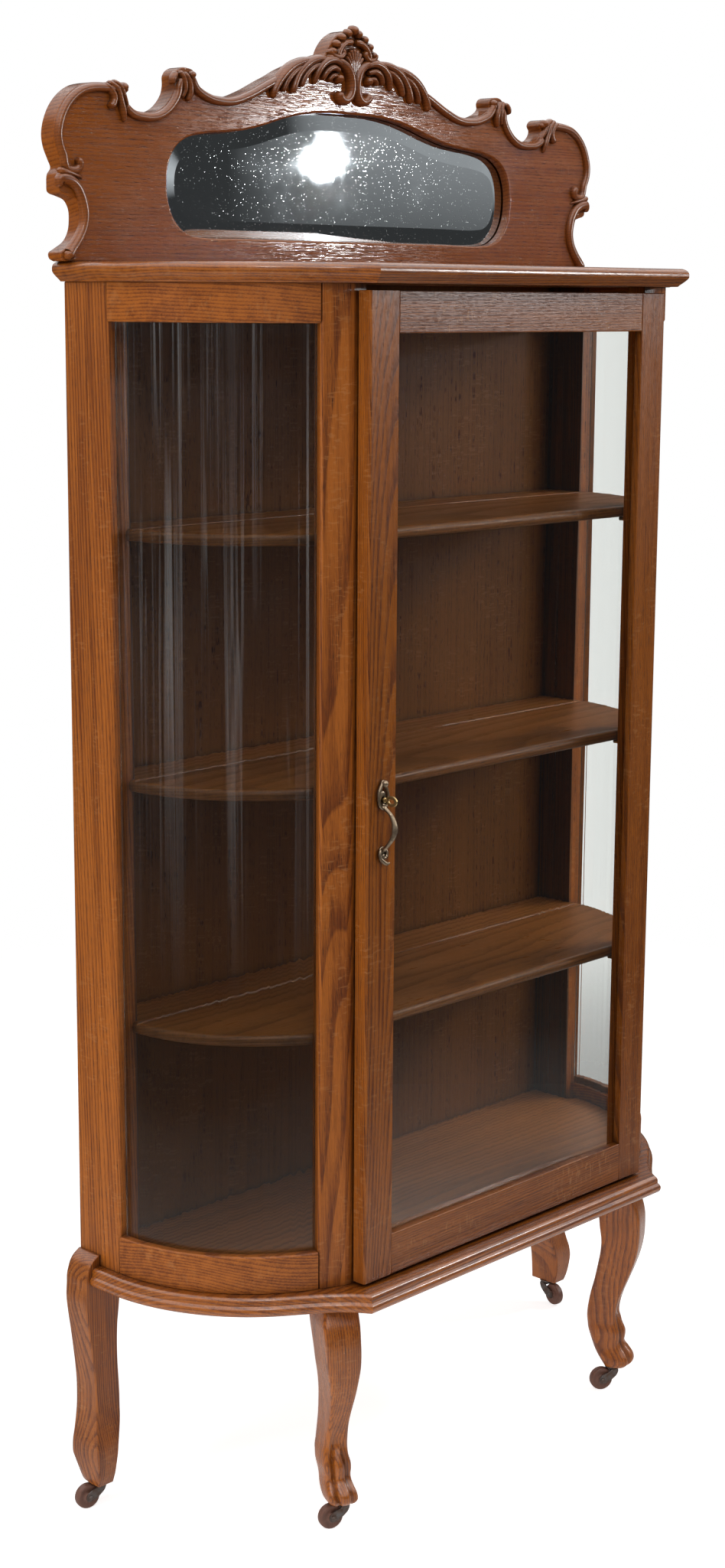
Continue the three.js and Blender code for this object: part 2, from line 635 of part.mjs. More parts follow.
function doorRail(name, z0, z1, glassEdge, up) {
  const inner = DOOR_HALF_W - DOOR_STILE;
  const lip = -DOOR_FRONT + DOOR_LIP;
  const half = [v2(inner, -DOOR_FRONT), v2(inner, lip), v2(inner + REBATE, lip),
    v2(inner + REBATE, -DOOR_BACK)];
  const plan = [...half, ...mirrorX(half, -1).reverse()];
  const [a, b] = [glassEdge - up * REBATE, glassEdge + up * REBATE].sort((p, q) => p - q);
  const rebate = box(-DOOR_HALF_W, DOOR_HALF_W, lip, -DOOR_BACK + 1, a, b);
  return mesh(name, cut(prism(plan, z0, z1), rebate), OAK);
}

function doorGlass() {
  const half = DOOR_HALF_W - DOOR_STILE + REBATE - REVEAL;
  const front = -DOOR_FRONT + DOOR_LIP;
  return mesh('door_glass', box(-half, half, front, front + GLASS_T,
    DOOR_Z0 + DOOR_BOTTOM_RAIL - REBATE, DOOR_Z1 - DOOR_TOP_RAIL + REBATE - REVEAL), GLASS);
}

// ---- hinges ---------------------------------------------------------------------------------

function knuckle(z0, z1) {
  const hole = HINGE_PIN_R + BORE_GAP;
  const profile = [v2(hole, z0), v2(KNUCKLE_R, z0), v2(KNUCKLE_R, z1), v2(hole, z1), v2(hole, z0)];
  return new THREE.LatheGeometry(profile, 12).rotateX(Math.PI / 2);
}

function hingeLeaves(number, z) {
  const third = HINGE_H / 3;
  const gap = 0.25;
  const half = HINGE_H / 2;
  const plate = (x1, y0, y1) => box(HINGE_X - LEAF_W, x1, y0, y1, z - half, z + half);
  const reach = 3 * KNUCKLE_R;
  const around = (z0, z1) => box(HINGE_X - KNUCKLE_R - 2 * gap, HINGE_X + reach,
    -FRONT_Y - reach, -FRONT_Y + reach, z0, z1);
  const at = (g) => g.translate(HINGE_X, -HINGE_Y, 0);
  const post = cut(
    union(plate(HINGE_X, -FRONT_Y - LEAF_T, -FRONT_Y), at(knuckle(z - half, z - third / 2 - gap)),
      at(knuckle(z + third / 2 + gap, z + half))),
    around(z - third / 2 - gap, z + third / 2 + gap));
  const leaf = cut(plate(HINGE_X - 1, -DOOR_BACK, -DOOR_BACK + LEAF_T),
    around(z - half - gap, z - third / 2 + gap), around(z + third / 2 - gap, z + half + gap));
  const turned = (r, h) => roundBar(r, h).rotateX(Math.PI / 2);
  const heads = [-1, 1].map((s) => new THREE.SphereGeometry(KNUCKLE_R - 0.4, 10, 6)
    .translate(0, 0, s * (half + KNUCKLE_R)));
  const axle = union(turned(KNUCKLE_R, third - 2 * gap), turned(HINGE_PIN_R, HINGE_H + 4), ...heads)
    .translate(HINGE_X, -HINGE_Y, z);
  return [mesh(`hinge_${number}_post_leaf`, post, BRASS),
    mesh(`hinge_${number}_door_leaf`, union(leaf, axle), BRASS)];
}

// ---- pull, key and lock ---------------------------------------------------------------------

const BOLT_Y = FRONT_Y - 6;

// Circle sections swept along a spine of [x, y, z, radius].
function wire(spine, sides = 8) {
  const points = spine.map(([x, y, z]) => new THREE.Vector3(x, y, z));
  const rings = points.map((p, i) => {
    const t = points[Math.min(i + 1, points.length - 1)].clone()
      .sub(points[Math.max(i - 1, 0)]).normalize();
    const u = new THREE.Vector3(1, 0, 0).cross(t).normalize();
    const w = t.clone().cross(u);
    return Array.from({ length: sides }, (_, k) => {
      const a = 2 * Math.PI * k / sides;
      const radius = spine[i][3];
      return p.clone().addScaledVector(u, radius * Math.cos(a)).addScaledVector(w, radius * Math.sin(a));
    });
  });
  return loftOpen(rings);
}

function doorPull() {
  const plateHalf = 9;
  const plateT = 2.6;
  const plate = spline([[0, 8], [-6, 5], [-8, -4], [-plateHalf, -14], [-7, -24], [-3.5, -30], [-3, -44],
    [-4, -60], [-3, -76], [-6, -82], [-6, -90], [0, -96], [6, -90], [6, -82], [3, -76], [4, -60], [3, -44],
    [3.5, -30], [7, -24], [plateHalf, -14], [8, -4], [6, 5]], 48, true).slice(0, -1);
  const body = upright(plate, 0, plateT);
  const knob = new THREE.SphereGeometry(6, 12, 8).translate(0, -5, 0);
  const finial = new THREE.SphereGeometry(5.5, 12, 8).translate(0, -4.5, -86);
  const bail = wire([[0, -1, -27, 3.2], [0, -7, -29, 3], [1, -13, -34, 3], [2, -17, -42, 3.4],
    [2, -18.5, -51, 3.8], [1, -17, -60, 3.4], [0, -12, -68, 3], [0, -6, -74, 3], [0, -1, -77, 3.2]]);
  const keyhole = roundBar(KEY_R + 0.8, 30).translate(0, 0, KEY_Z - PULL_TOP);
  const behind = box(-20, 20, 0, 20, -PULL_TOP, PULL_TOP);
  const pull = mesh('door_pull', cut(union(body, knob, finial, bail), keyhole, behind), PULL_METAL);
  return place(pull, PULL_X, -DOOR_FRONT - SEAT, PULL_TOP);
}

function doorKey() {
  const shankOut = 8;
  const shankIn = DOOR_T + 5.5;
  const shank = roundBar(KEY_R, shankOut + shankIn, 12).translate(0, (shankIn - shankOut) / 2, 0);
  const collar = roundBar(KEY_R + 1.1, 2, 12).translate(0, -5, 0);
  const bow = new THREE.TorusGeometry(7, 1.9, 8, 20).scale(1, 1, 0.9).rotateY(Math.PI / 2)
    .rotateX(Math.PI / 2).translate(0, -shankOut - 7.5, 0);
  const bit = box(-1.1, 1.1, shankIn - 4.5, shankIn - 0.5, -KEY_BIT, 0);
  return place(mesh('door_key', union(shank, collar, bow, bit), BRASS), PULL_X, -DOOR_FRONT, KEY_Z);
}

function lock() {
  const wall = 1.4;
  const y0 = -DOOR_BACK;
  const x0 = -FRONT_POST_IN + LOCK_GAP;
  const x1 = x0 + LOCK_W;
  const outer = box(x0, x1, y0, y0 + LOCK_T, KEY_Z - LOCK_H / 2, KEY_Z + LOCK_H / 2);
  return { x0, x1, y0, wall, outer };
}

function lockCase() {
  const { x0, x1, y0, wall, outer } = lock();
  const hollow = box(x0 + wall, x1 - wall, y0 - 1, y0 + LOCK_T - wall, KEY_Z - LOCK_H / 2 + wall,
    KEY_Z + LOCK_H / 2 - wall);
  const slot = box(x0 - 1, x0 + 2 * wall, -BOLT_Y - BOLT_T / 2 - 0.3, -BOLT_Y + BOLT_T / 2 + 0.3,
    KEY_Z - BOLT_H / 2 - 0.3, KEY_Z + BOLT_H / 2 + 0.3);
  return mesh('lock_case', cut(outer, hollow, slot), IRON);
}

function lockBolt() {
  const { x0 } = lock();
  return mesh('lock_bolt', box(x0 + BOLT_IN, x0 + BOLT_IN + BOLT_L, -BOLT_Y - BOLT_T / 2,
    -BOLT_Y + BOLT_T / 2, KEY_Z - BOLT_H / 2, KEY_Z + BOLT_H / 2), BRASS);
}

// ---- legs -----------------------------------------------------------------------------------

// Front leg rows, from the top: [z, front, back, width, drift]. Front and back run along the way the leg
// faces, drift runs across it.
const FRONT_LEG = [[LEG_H, 8, -50, 42, 0], [276, 14, -44, 44, -1.5], [262, 21, -36, 46, -3],
  [246, 25, -31, 45, -3], [230, 26, -29, 43.5, -2], [212, 25.4, -26.5, 41.5, -1.5],
  [194, 22.5, -27.5, 36.5, -0.8], [174, 16.5, -31, 32, 0], [154, 9, -35, 28.5, 0],
  [134, 1.5, -40, 27, 0.3], [116, -3, -43.3, 28.7, 0.3], [104, -3.2, -44.8, 30.5, -0.2],
  [94, 0.6, -45, 33.5, -1.2], [82, 5.5, -43.4, 36.5, -0.5], [74, 6, -40.7, 35.5, 0.3],
  [67, 5.5, -38.3, 34, 0.6], [61, 9, -36.2, 34, 0.6], [55, 14.5, -33.6, 36, 0.8],
  [48, 18.6, -29.2, 38.5, 1.8], [41, 18.5, -24, 38.5, 3], [36, 14, -20.5, 34, 4],
  [FOOT_Z, 10, -18.5, 30, 4.5]];
const FRONT_LEG_X = POST_CORNER_X + 1.8;
const FRONT_LEG_Y = FRONT_Y - 10.6;
// The section's power: round toes, a square block above the ankle, and the heights between.
const [ROUND, SQUARE] = [3, 12];
const [ROUND_Z, SQUARE_Z] = [90, 171];
const FRONT_STEM = [8, -8]; // drift and forward position of the caster's stem

function roundedSection(x0, x1, y0, y1, power, count = 16) {
  return Array.from({ length: count }, (_, k) => {
    const a = 2 * Math.PI * (k + 0.5) / count;
    const pull = (v) => Math.sign(v) * Math.abs(v) ** (2 / power);
    return v2((x0 + x1) / 2 + (x1 - x0) / 2 * pull(Math.cos(a)),
      (y0 + y1) / 2 + (y1 - y0) / 2 * pull(Math.sin(a)));
  });
}

const stemHole = (x, y) => roundBar(STEM_R + BORE_GAP, 2 * (STEM_L + 2)).rotateX(Math.PI / 2)
  .translate(x, y, FOOT_Z);

// Local frame: the leg faces -y.
function frontLeg(side) {
  const rings = FRONT_LEG.map(([z, front, back, width, drift]) => {
    const sharp = THREE.MathUtils.clamp(
      THREE.MathUtils.mapLinear(z, ROUND_Z, SQUARE_Z, ROUND, SQUARE), ROUND, SQUARE);
    return roundedSection(-side * drift - width / 2, -side * drift + width / 2, -front, -back, sharp)
      .map((p) => new THREE.Vector3(p.x, p.y, z));
  });
  const [drift, forward] = FRONT_STEM;
  const leg = mesh(nameOf('front_leg', side), cut(loft(rings), stemHole(-side * drift, -forward)), OAK);
  return place(leg, side * FRONT_LEG_X, -FRONT_LEG_Y, 0, side * POST_TILT);
}

// Rear leg rows: [z, outer face, inner face, forward kick], the faces from the outer face of the
// post, the kick from its front.
const REAR_LEG = [[LEG_H, 23, -31.5, 0], [272, 24, -30.5, 0], [252, 22, -28.5, 0], [231, 18.8, -26, 0],
  [205, 15.2, -25, 0], [180, 12.2, -25.5, 0], [160, 10.5, -26.4, 0.3], [143, 10.3, -26.8, 0.8],
  [128, 10.8, -26, 2], [112, 12.7, -24.3, 4.3], [98, 15, -20.5, 7.5], [84, 17.8, -16, 11],
  [72, 18.2, -13.5, 12.5], [60, 17, -12, 11.8], [46, 15, -11, 9.8], [38, 13.8, -10.5, 7.5],
  [FOOT_Z, 12.5, -10.5, 6]];
const REAR_STEM = [HALF_W - 3, 23.5];
const FOOT_CUT_Z = 68; // where the slanted cut at the outer back corner of a rear foot starts
const FOOT_CUT = 20; // its size at the bottom
const FOOT_CUT_LEAN = 1.2; // how much further it runs forwards than sideways
// The lap on the post: [outer face, height above the top of the leg].
const LAP = [[23, 0], [22.5, 10], [20, 19], [16.5, 27], [11, 33], [3, 37.5]];

function rearLeg(side) {
  const section = (z, out, inn, kick) => {
    const [outer, inside, front] = [HALF_W + out, HALF_W + inn, -POST_DEPTH - kick];
    const corner = 2;
    const low = THREE.MathUtils.clamp((FOOT_CUT_Z - z) / (FOOT_CUT_Z - FOOT_Z), 0, 1);
    const slant = corner + (FOOT_CUT - corner) * low;
    return [[inside, 0], [outer - slant, 0], [outer, -FOOT_CUT_LEAN * slant],
      [outer, front + corner], [outer - corner, front], [inside, front]]
      .map(([x, y]) => new THREE.Vector3(side * x, y, z));
  };
  const rows = [...[...REAR_LEG].reverse().map((row) => section(...row)),
    ...LAP.map(([o, up]) => section(LEG_H + up, o, REVEAL, 0))];
  const body = cut(loft(rows), stemHole(side * REAR_STEM[0], -REAR_STEM[1]));
  return mesh(nameOf('rear_leg', side), body, OAK);
}

// ---- casters --------------------------------------------------------------------------------

// The horn's stem stands on the local z axis; the wheel trails along +x.
function casterHorn() {
  const cheekIn = WHEEL_W / 2 + 0.8;
  const plateZ = FOOT_Z - PLATE_T;
  const crownZ = 27.6;
  const stem = roundBar(STEM_R, FOOT_Z + STEM_L - crownZ).rotateX(Math.PI / 2)
    .translate(0, 0, (FOOT_Z + STEM_L + crownZ) / 2);
  const plate = roundBar(10.5, PLATE_T, 20).rotateX(Math.PI / 2).translate(0, 0, FOOT_Z - PLATE_T / 2);
  const washer = roundBar(8, PLATE_T, 20).rotateX(Math.PI / 2).translate(0, 0, plateZ - 0.9);
  const width = cheekIn + CHEEK_T;
  const crown = box(-6, 3.6, -width, width, crownZ, plateZ - 1);
  const side = [v2(-6, crownZ + 2.6), v2(3.6, crownZ + 2.6), v2(TRAIL - 2, WHEEL_R + 8),
    v2(TRAIL + 3, WHEEL_R + 4), v2(TRAIL + 4.4, WHEEL_R), v2(TRAIL + 3, WHEEL_R - 4),
    v2(TRAIL - 2, WHEEL_R - 4.4), v2(3, WHEEL_R - 1), v2(-4, crownZ - 4)];
  const cheeks = [-1, 1].map((s) => upright(side, s * (cheekIn + CHEEK_T / 2) + CHEEK_T / 2, CHEEK_T));
  const axle = roundBar(AXLE_R, 2 * width + 1.6, 12).translate(TRAIL, 0, WHEEL_R);
  return union(plate, stem, washer, crown, ...cheeks, axle);
}

function casterWheel() {
  const half = WHEEL_W / 2;
  const bore = AXLE_R + BORE_GAP;
  const hub = half + 0.4;
  const profile = [v2(bore, -hub), v2(5, -hub), v2(6.5, -half + 1.4), v2(WHEEL_R - 3, -half + 0.6),
    v2(WHEEL_R, -half / 2), v2(WHEEL_R, half / 2), v2(WHEEL_R - 3, half - 0.6), v2(6.5, half - 1.4),
    v2(5, hub), v2(bore, hub), v2(bore, -hub)];
  return outward(tidy(new THREE.LatheGeometry(profile, 22)));
}

function caster(name, x, y, heading) {
  const horn = mesh(`caster_horn_${name}`, casterHorn(), IRON);
  const wheel = mesh(`caster_wheel_${name}`, casterWheel(), WHEEL_WOOD);
  wheel.position.set(TRAIL, 0, WHEEL_R);
  return place(group(`caster_${name}`, horn, wheel), x, y, 0, deg(heading));
}

function frontStem(side) {
  const [drift, forward] = FRONT_STEM;
  const p = v2(-side * drift, -forward).rotateAround(v2(0, 0), side * POST_TILT);
  return [side * FRONT_LEG_X + p.x, -FRONT_LEG_Y + p.y];
}

// ---- assembly -------------------------------------------------------------------------------

const crest = group('crest', crestBoard(), crestMirror(), mirrorBacking(), crestCarving());
const carcass = group('carcass', topBoard(), baseBoard(), floorBoard(), backPanel(),
  ...[-1, 1].flatMap((s) => [rearPost(s), sideStile(s), frontPost(s), ...sideRails(s), sideGlass(s)]));
const shelves = group('shelves', ...SHELF_TOPS.map((top, k) => shelf(`shelf_${k + 1}`, top)),
  ...shelfPins());
const door = group('door', doorStile(-1), doorStile(1),
  doorRail('door_bottom_rail', DOOR_Z0, DOOR_Z0 + DOOR_BOTTOM_RAIL, DOOR_Z0 + DOOR_BOTTOM_RAIL, 1),
  doorRail('door_top_rail', DOOR_Z1 - DOOR_TOP_RAIL, DOOR_Z1, DOOR_Z1 - DOOR_TOP_RAIL, -1),
  doorGlass(), doorPull(), doorKey(), lockCase(), lockBolt(),
  ...HINGE_ZS.flatMap((z, k) => hingeLeaves(k + 1, z)));
const legs = group('legs', frontLeg(-1), frontLeg(1), rearLeg(-1), rearLeg(1));
const casters = group('casters',
  caster('front_left', ...frontStem(-1), 160), caster('front_right', ...frontStem(1), 147),
  caster('rear_left', -REAR_STEM[0], -REAR_STEM[1], 168),
  caster('rear_right', REAR_STEM[0], -REAR_STEM[1], -100));

const cabinet = group('china_cabinet', crest, carcass, shelves, door, legs, casters);
cabinet.position.y = DEPTH / 2;

export default cabinet;
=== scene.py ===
import json
import math

import bmesh
import bpy
import numpy as np
from bpy.props import FloatProperty, FloatVectorProperty, PointerProperty
from bpy.types import Operator, Panel, PropertyGroup
from mathutils import Matrix, Vector
from mathutils.geometry import tessellate_polygon


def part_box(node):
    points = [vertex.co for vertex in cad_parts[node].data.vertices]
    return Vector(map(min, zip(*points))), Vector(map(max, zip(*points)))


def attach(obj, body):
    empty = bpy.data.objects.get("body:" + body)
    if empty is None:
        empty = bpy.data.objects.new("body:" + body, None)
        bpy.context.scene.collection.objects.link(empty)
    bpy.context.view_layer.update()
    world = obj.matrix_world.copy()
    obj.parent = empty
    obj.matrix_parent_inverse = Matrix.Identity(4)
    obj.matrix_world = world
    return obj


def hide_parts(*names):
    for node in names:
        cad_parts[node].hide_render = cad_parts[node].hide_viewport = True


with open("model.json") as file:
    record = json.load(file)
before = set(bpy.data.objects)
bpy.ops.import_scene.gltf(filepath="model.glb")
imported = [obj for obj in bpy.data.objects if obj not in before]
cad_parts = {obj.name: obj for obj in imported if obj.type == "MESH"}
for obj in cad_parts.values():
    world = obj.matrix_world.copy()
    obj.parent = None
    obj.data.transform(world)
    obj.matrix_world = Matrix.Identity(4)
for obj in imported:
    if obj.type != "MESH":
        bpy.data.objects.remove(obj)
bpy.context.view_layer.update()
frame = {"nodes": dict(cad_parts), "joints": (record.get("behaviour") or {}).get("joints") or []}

bl_info = {
    "name": "Oak China Cabinet",
    "version": (1, 0, 0),
    "blender": (4, 5, 0),
    "location": "View3D > Sidebar > China Cabinet",
    "description": "Bow-end oak china cabinet with a mirrored crest, glass door and cabriole legs",
    "category": "Object",
}

# Tables and shapes are in millimetres, with y = 0 at the wall and the front towards -y.
# to_row() brings them into the frame's metres.

MM = 0.001
GAP = 0.3  # clearance between fitted pieces
WELD = 0.02 * MM  # points nearer than this are one
LOW, HIGH = 0, 1
X, Y, Z = 0, 1, 2
SIDES = (-1, 1)
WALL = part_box("rear_post_right")[HIGH].y


def edge_of(node, end, axis):
    """One face of a CAD node's box, in millimetres."""
    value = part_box(node)[end][axis]
    return (value - (WALL if axis == Y else 0.0)) / MM


def middle_of(node, axis):
    return (edge_of(node, LOW, axis) + edge_of(node, HIGH, axis)) / 2


def side_name(base, side):
    return f"{base}_{'left' if side < 0 else 'right'}"


HALF_W = edge_of("rear_post_right", HIGH, X)
POST_DEPTH = -edge_of("rear_post_right", LOW, Y)
SIDE_FLAT = -edge_of("side_stile_right", LOW, Y)
FRONT_Y = -edge_of("front_post_right", LOW, Y)
LEG_H = edge_of("base_board", LOW, Z)
CASE_Z0 = edge_of("rear_post_right", LOW, Z)
CASE_Z1 = edge_of("rear_post_right", HIGH, Z)
TOP_Z = edge_of("top_board", HIGH, Z)
DOOR_FRONT = -edge_of("door_stile_left", LOW, Y)
CREST_BACK = -edge_of("mirror_backing", HIGH, Y) - 1
CREST_FACE = 25.0
LEDGE = 11  # how far behind the crest's face the mirror sits
FOOT_Z = edge_of("rear_leg_left", LOW, Z)


# ---- settings -------------------------------------------------------------------------------


def colour(name, description, value):
    return FloatVectorProperty(
        name=name, description=description, default=value, subtype="COLOR", size=3, min=0, max=1
    )


def length(name, description, value):
    """A length kept in metres and given here in millimetres."""
    return FloatProperty(
        name=name, description=description, default=value * MM, min=0,
        unit="LENGTH", subtype="DISTANCE", precision=5,
    )


def share(name, description, value, high=1.0):
    return FloatProperty(
        name=name, description=description, default=value, min=0, max=high, subtype="FACTOR"
    )


def angle(name, description, degrees):
    return FloatProperty(
        name=name, description=description, default=math.radians(degrees),
        unit="ROTATION", subtype="ANGLE",
    )


def power(name, description, watts):
    return FloatProperty(name=name, description=description, default=watts, min=0, unit="POWER")


class OakSettings(PropertyGroup):
    """Colours and figure of the stained oak."""

    late: colour("Late wood", "Dense golden wood between the pores", (0.48, 0.136, 0.015))
    early: colour("Early wood", "Open wood that took the stain", (0.175, 0.038, 0.004))
    pore: colour("Pores", "Filled pores", (0.050, 0.015, 0.006))
    crest_late: colour("Crest late wood", "Redder wood of the crest", (0.39, 0.105, 0.014))
    crest_early: colour("Crest early wood", "Open wood of the crest", (0.225, 0.054, 0.007))
    inner_late: colour("Inner late wood", "Wood inside the case", (0.200, 0.072, 0.016))
    inner_early: colour("Inner early wood", "Open wood inside the case", (0.115, 0.038, 0.008))
    ring: length("Ring width", "Width of one growth ring", 3.4)
    flecks: share("Ray flecks", "Strength of the pale ray flecks", 0.55)
    wear: share("Edge wear", "Polish rubbed off along the edges", 0.5)
    # Strength of grime and painted shade: corners and carving darken where ambient occlusion finds
    # them shut in.
    grime_and_shade: share("Grime and shade", "Dirt left in corners and carving", 0.85)


class CaseSettings(PropertyGroup):
    """Shape of the case."""

    bow_radius: length("Bow radius", "Outer radius of the bowed sides", 221)
    bow_turn: angle("Bow turn", "Angle of the bow from the side stile to the front post", 65.5)
    rail: length("Rail thickness", "Thickness of the bowed rails", 20)
    glass_in: length("Glass set in", "Outer face of the bow to the glass", 11)
    glass: length("Glass thickness", "Thickness of the panes", 3)
    arris: length("Arris", "Rounding of the square edges", 1.3)
    shelf_round: length("Shelf edge", "Rounding of a shelf's front edge", 5.5)
    groove: length("Plate groove", "Width of the plate groove", 6)


class CrestSettings(PropertyGroup):
    """Shape of the crest."""

    bead: length("Bead width", "Width of the raised bead round the crest", 9.5)
    bead_height: length("Bead height", "How far the bead stands proud", 6)
    bead_inset: length("Bead inset", "Board edge to the middle of the bead", 5.6)
    edge: length("Edge rounding", "Rounding of the crest's outline", 1.8)
    opening_edge: length("Opening rounding", "Rounding of the mirror opening", 3.0)
    bevel: length("Mirror bevel", "Width of the mirror's bevel", 22)
    bevel_depth: length("Bevel depth", "How much thinner the mirror is at its edge", 2.2)


class GlassSettings(PropertyGroup):
    """Old drawn glass and the mirror."""

    tint: colour("Tint", "Colour of the clear glass", (0.955, 0.972, 0.955))
    silver: colour("Silvering", "Colour of the mirror", (0.76, 0.83, 0.87))
    waves: share("Waves", "Waviness of the bent panes", 0.22)
    flat_waves: share("Flat waves", "Waviness of the door pane", 0.06)


class MetalSettings(PropertyGroup):
    """Colours of the metal parts."""

    pull: colour("Pull", "Worn plating of the pull", (0.46, 0.36, 0.25))
    pull_dark: colour("Pull tarnish", "Tarnish in the hollows", (0.13, 0.085, 0.055))
    brass: colour("Brass", "Key, hinges and shelf pins", (0.66, 0.47, 0.21))
    brass_dark: colour("Brass tarnish", "Dull brown brass", (0.22, 0.135, 0.06))
    iron: colour("Iron", "Caster horns", (0.150, 0.140, 0.135))
    rust: colour("Rust", "Brown bloom on the iron", (0.13, 0.070, 0.045))
    wheel: colour("Wheel", "Turned wooden wheel", (0.150, 0.062, 0.044))
    wheel_worn: colour("Worn tread", "Rubbed edge of the wheel", (0.30, 0.150, 0.100))


class StudioSettings(PropertyGroup):
    """Camera, lights and floor."""

    camera: FloatVectorProperty(
        name="Camera place", description="Where the camera stands", size=3,
        subtype="TRANSLATION", unit="LENGTH", default=(-2.2247, -1.9774, 1.4404),
    )
    yaw: angle("Yaw", "Turn of the camera to the right of straight back", 46.74)
    pitch: angle("Pitch", "Tilt of the camera downwards", 11.17)
    roll: angle("Roll", "Right side of the camera up", 0.36)
    lens: FloatProperty(
        name="Lens", description="Focal length", default=56.27, min=10, unit="CAMERA"
    )
    left: power("Left light", "Tall soft light at the left", 30)
    right: power("Right light", "Light that comes in through the right side's glass", 30)
    flash: power("Flash", "Small bright light, which the mirror shows", 20)
    flash_place: FloatVectorProperty(
        name="Flash place", description="Where the flash stands", size=3,
        subtype="TRANSLATION", unit="LENGTH", default=(2.118, -1.934, 1.771),
    )
    high: power("High light", "Light above the camera, which the rounded edges show", 15)
    top: power("Top light", "Wide light overhead", 12)
    room: share("Room", "Grey of the room's even light", 0.30, 2.0)
    inside: share("Room inside", "Share of the even light that gets through the glass", 0.16)
    glow: share("Floor glow", "How much paler the floor looks than it lights", 0.5, 2.0)
    sweep: length("Floor radius", "Pale floor round the cabinet", 2600)


class CabinetSettings(PropertyGroup):
    """Everything that a user would change."""

    oak: PointerProperty(type=OakSettings)
    case: PointerProperty(type=CaseSettings)
    crest: PointerProperty(type=CrestSettings)
    glass: PointerProperty(type=GlassSettings)
    metal: PointerProperty(type=MetalSettings)
    studio: PointerProperty(type=StudioSettings)


def settings():
    return bpy.context.scene.china_cabinet


# ---- outlines and curves --------------------------------------------------------------------


def spline(points, steps, closed=False):
    """A centripetal Catmull-Rom curve through rows of numbers, steps pieces to a span."""
    p = np.asarray(points, float)
    ends = (p[-1:], p[:2]) if closed else (2 * p[:1] - p[1:2], 2 * p[-1:] - p[-2:-1])
    q = np.vstack([ends[0], p, ends[1]])
    s = (np.arange(steps) / steps)[:, None]
    out = []
    for a, b, c, d in zip(q, q[1:], q[2:], q[3:]):
        t0, t1, t2 = (max(np.linalg.norm(v), 1e-6) ** 0.5 for v in (b - a, c - b, d - c))
        m1 = c - b + t1 * ((b - a) / t0 - (c - a) / (t0 + t1))
        m2 = c - b + t1 * ((d - c) / t2 - (d - b) / (t1 + t2))
        cubic, square = 2 * (b - c) + m1 + m2, -3 * (b - c) - 2 * m1 - m2
        out.append(cubic * s**3 + square * s**2 + m1 * s + b)
    if not closed:
        out.append(p[-1:])
    return np.vstack(out)


def along(points, axes=2):
    """Length along a line at each of its points."""
    steps = np.linalg.norm(np.diff(np.asarray(points)[:, :axes], axis=0), axis=1)
    return np.concatenate([[0], np.cumsum(steps)])


def even(points, gap, axes=2):
    """The same line with its points about gap apart."""
    points = np.asarray(points, float)
    d = along(points, axes)
    s = np.linspace(0, d[-1], max(3, int(round(d[-1] / gap)) + 1))
    return np.stack([np.interp(s, d, points[:, k]) for k in range(points.shape[1])], 1)


def unit(v):
    return v / np.maximum(np.linalg.norm(v, axis=-1, keepdims=True), 1e-9)


def grown(outline, distance):
    """A closed outline moved outwards by distance, with its corners mitred."""
    p = np.asarray(outline, float)
    turned = np.roll(p, -1, 0)
    if (p[:, 0] * turned[:, 1] - p[:, 1] * turned[:, 0]).sum() < 0:
        distance = -distance
    before, after = unit(p - np.roll(p, 1, 0)), unit(turned - p)
    n0, n1 = (np.stack([v[:, 1], -v[:, 0]], 1) for v in (before, after))
    mid = unit(n0 + n1)
    return p + distance * mid / np.maximum(0.55, (mid * n0).sum(1, keepdims=True))


def mirrored(points):
    """A half outline on the right, joined to its mirror image into a closed loop."""
    left = points[::-1] * [-1, 1]
    return np.vstack([points, left[1:-1]])


def flipped(rows):
    return [[-row[0], *row[1:]] for row in rows]


def arc(radius, start, end, steps, centre=(0, 0)):
    a = np.radians(np.linspace(start, end, steps + 1))
    return np.stack([centre[0] + radius * np.cos(a), centre[1] + radius * np.sin(a)], 1)


# ---- meshes ---------------------------------------------------------------------------------


def at_height(points, z):
    """Plan points [x, y] all set at one height."""
    return np.column_stack([points, np.full(len(points), z)])


def loft(rings, caps=True):
    """Joins rings of points, all the same count, into a body."""
    rings = np.asarray(rings, float)
    count, n = rings.shape[:2]
    faces = [
        (k * n + i, k * n + (i + 1) % n, (k + 1) * n + (i + 1) % n, (k + 1) * n + i)
        for k in range(count - 1)
        for i in range(n)
    ]
    if caps:
        faces += [tuple(range(n))[::-1], tuple(range((count - 1) * n, count * n))]
    return rings.reshape(-1, 3), faces


def lathe(profile, turns=40, caps=True):
    """Turns rows of [radius, height] round the z axis."""
    a = np.linspace(0, 2 * np.pi, turns, endpoint=False)
    rows = np.maximum(np.asarray(profile, float), [0.03, -1e9])
    rings = [np.stack([r * np.cos(a), r * np.sin(a), np.full(turns, z)], 1) for r, z in rows]
    return loft(rings, caps)


def plate(outline, thickness, edge):
    """A flat plate from z = 0 to its thickness with both rims rounded."""
    outline = np.asarray(outline, float)
    rings = []
    for a in np.linspace(0, 90, 4):
        inset, z = edge * (1 - math.sin(math.radians(a))), edge * (1 - math.cos(math.radians(a)))
        rings.append(at_height(grown(outline, -inset), z))
    rings += [r * [1, 1, -1] + [0, 0, thickness] for r in rings[::-1]]
    return loft(rings)


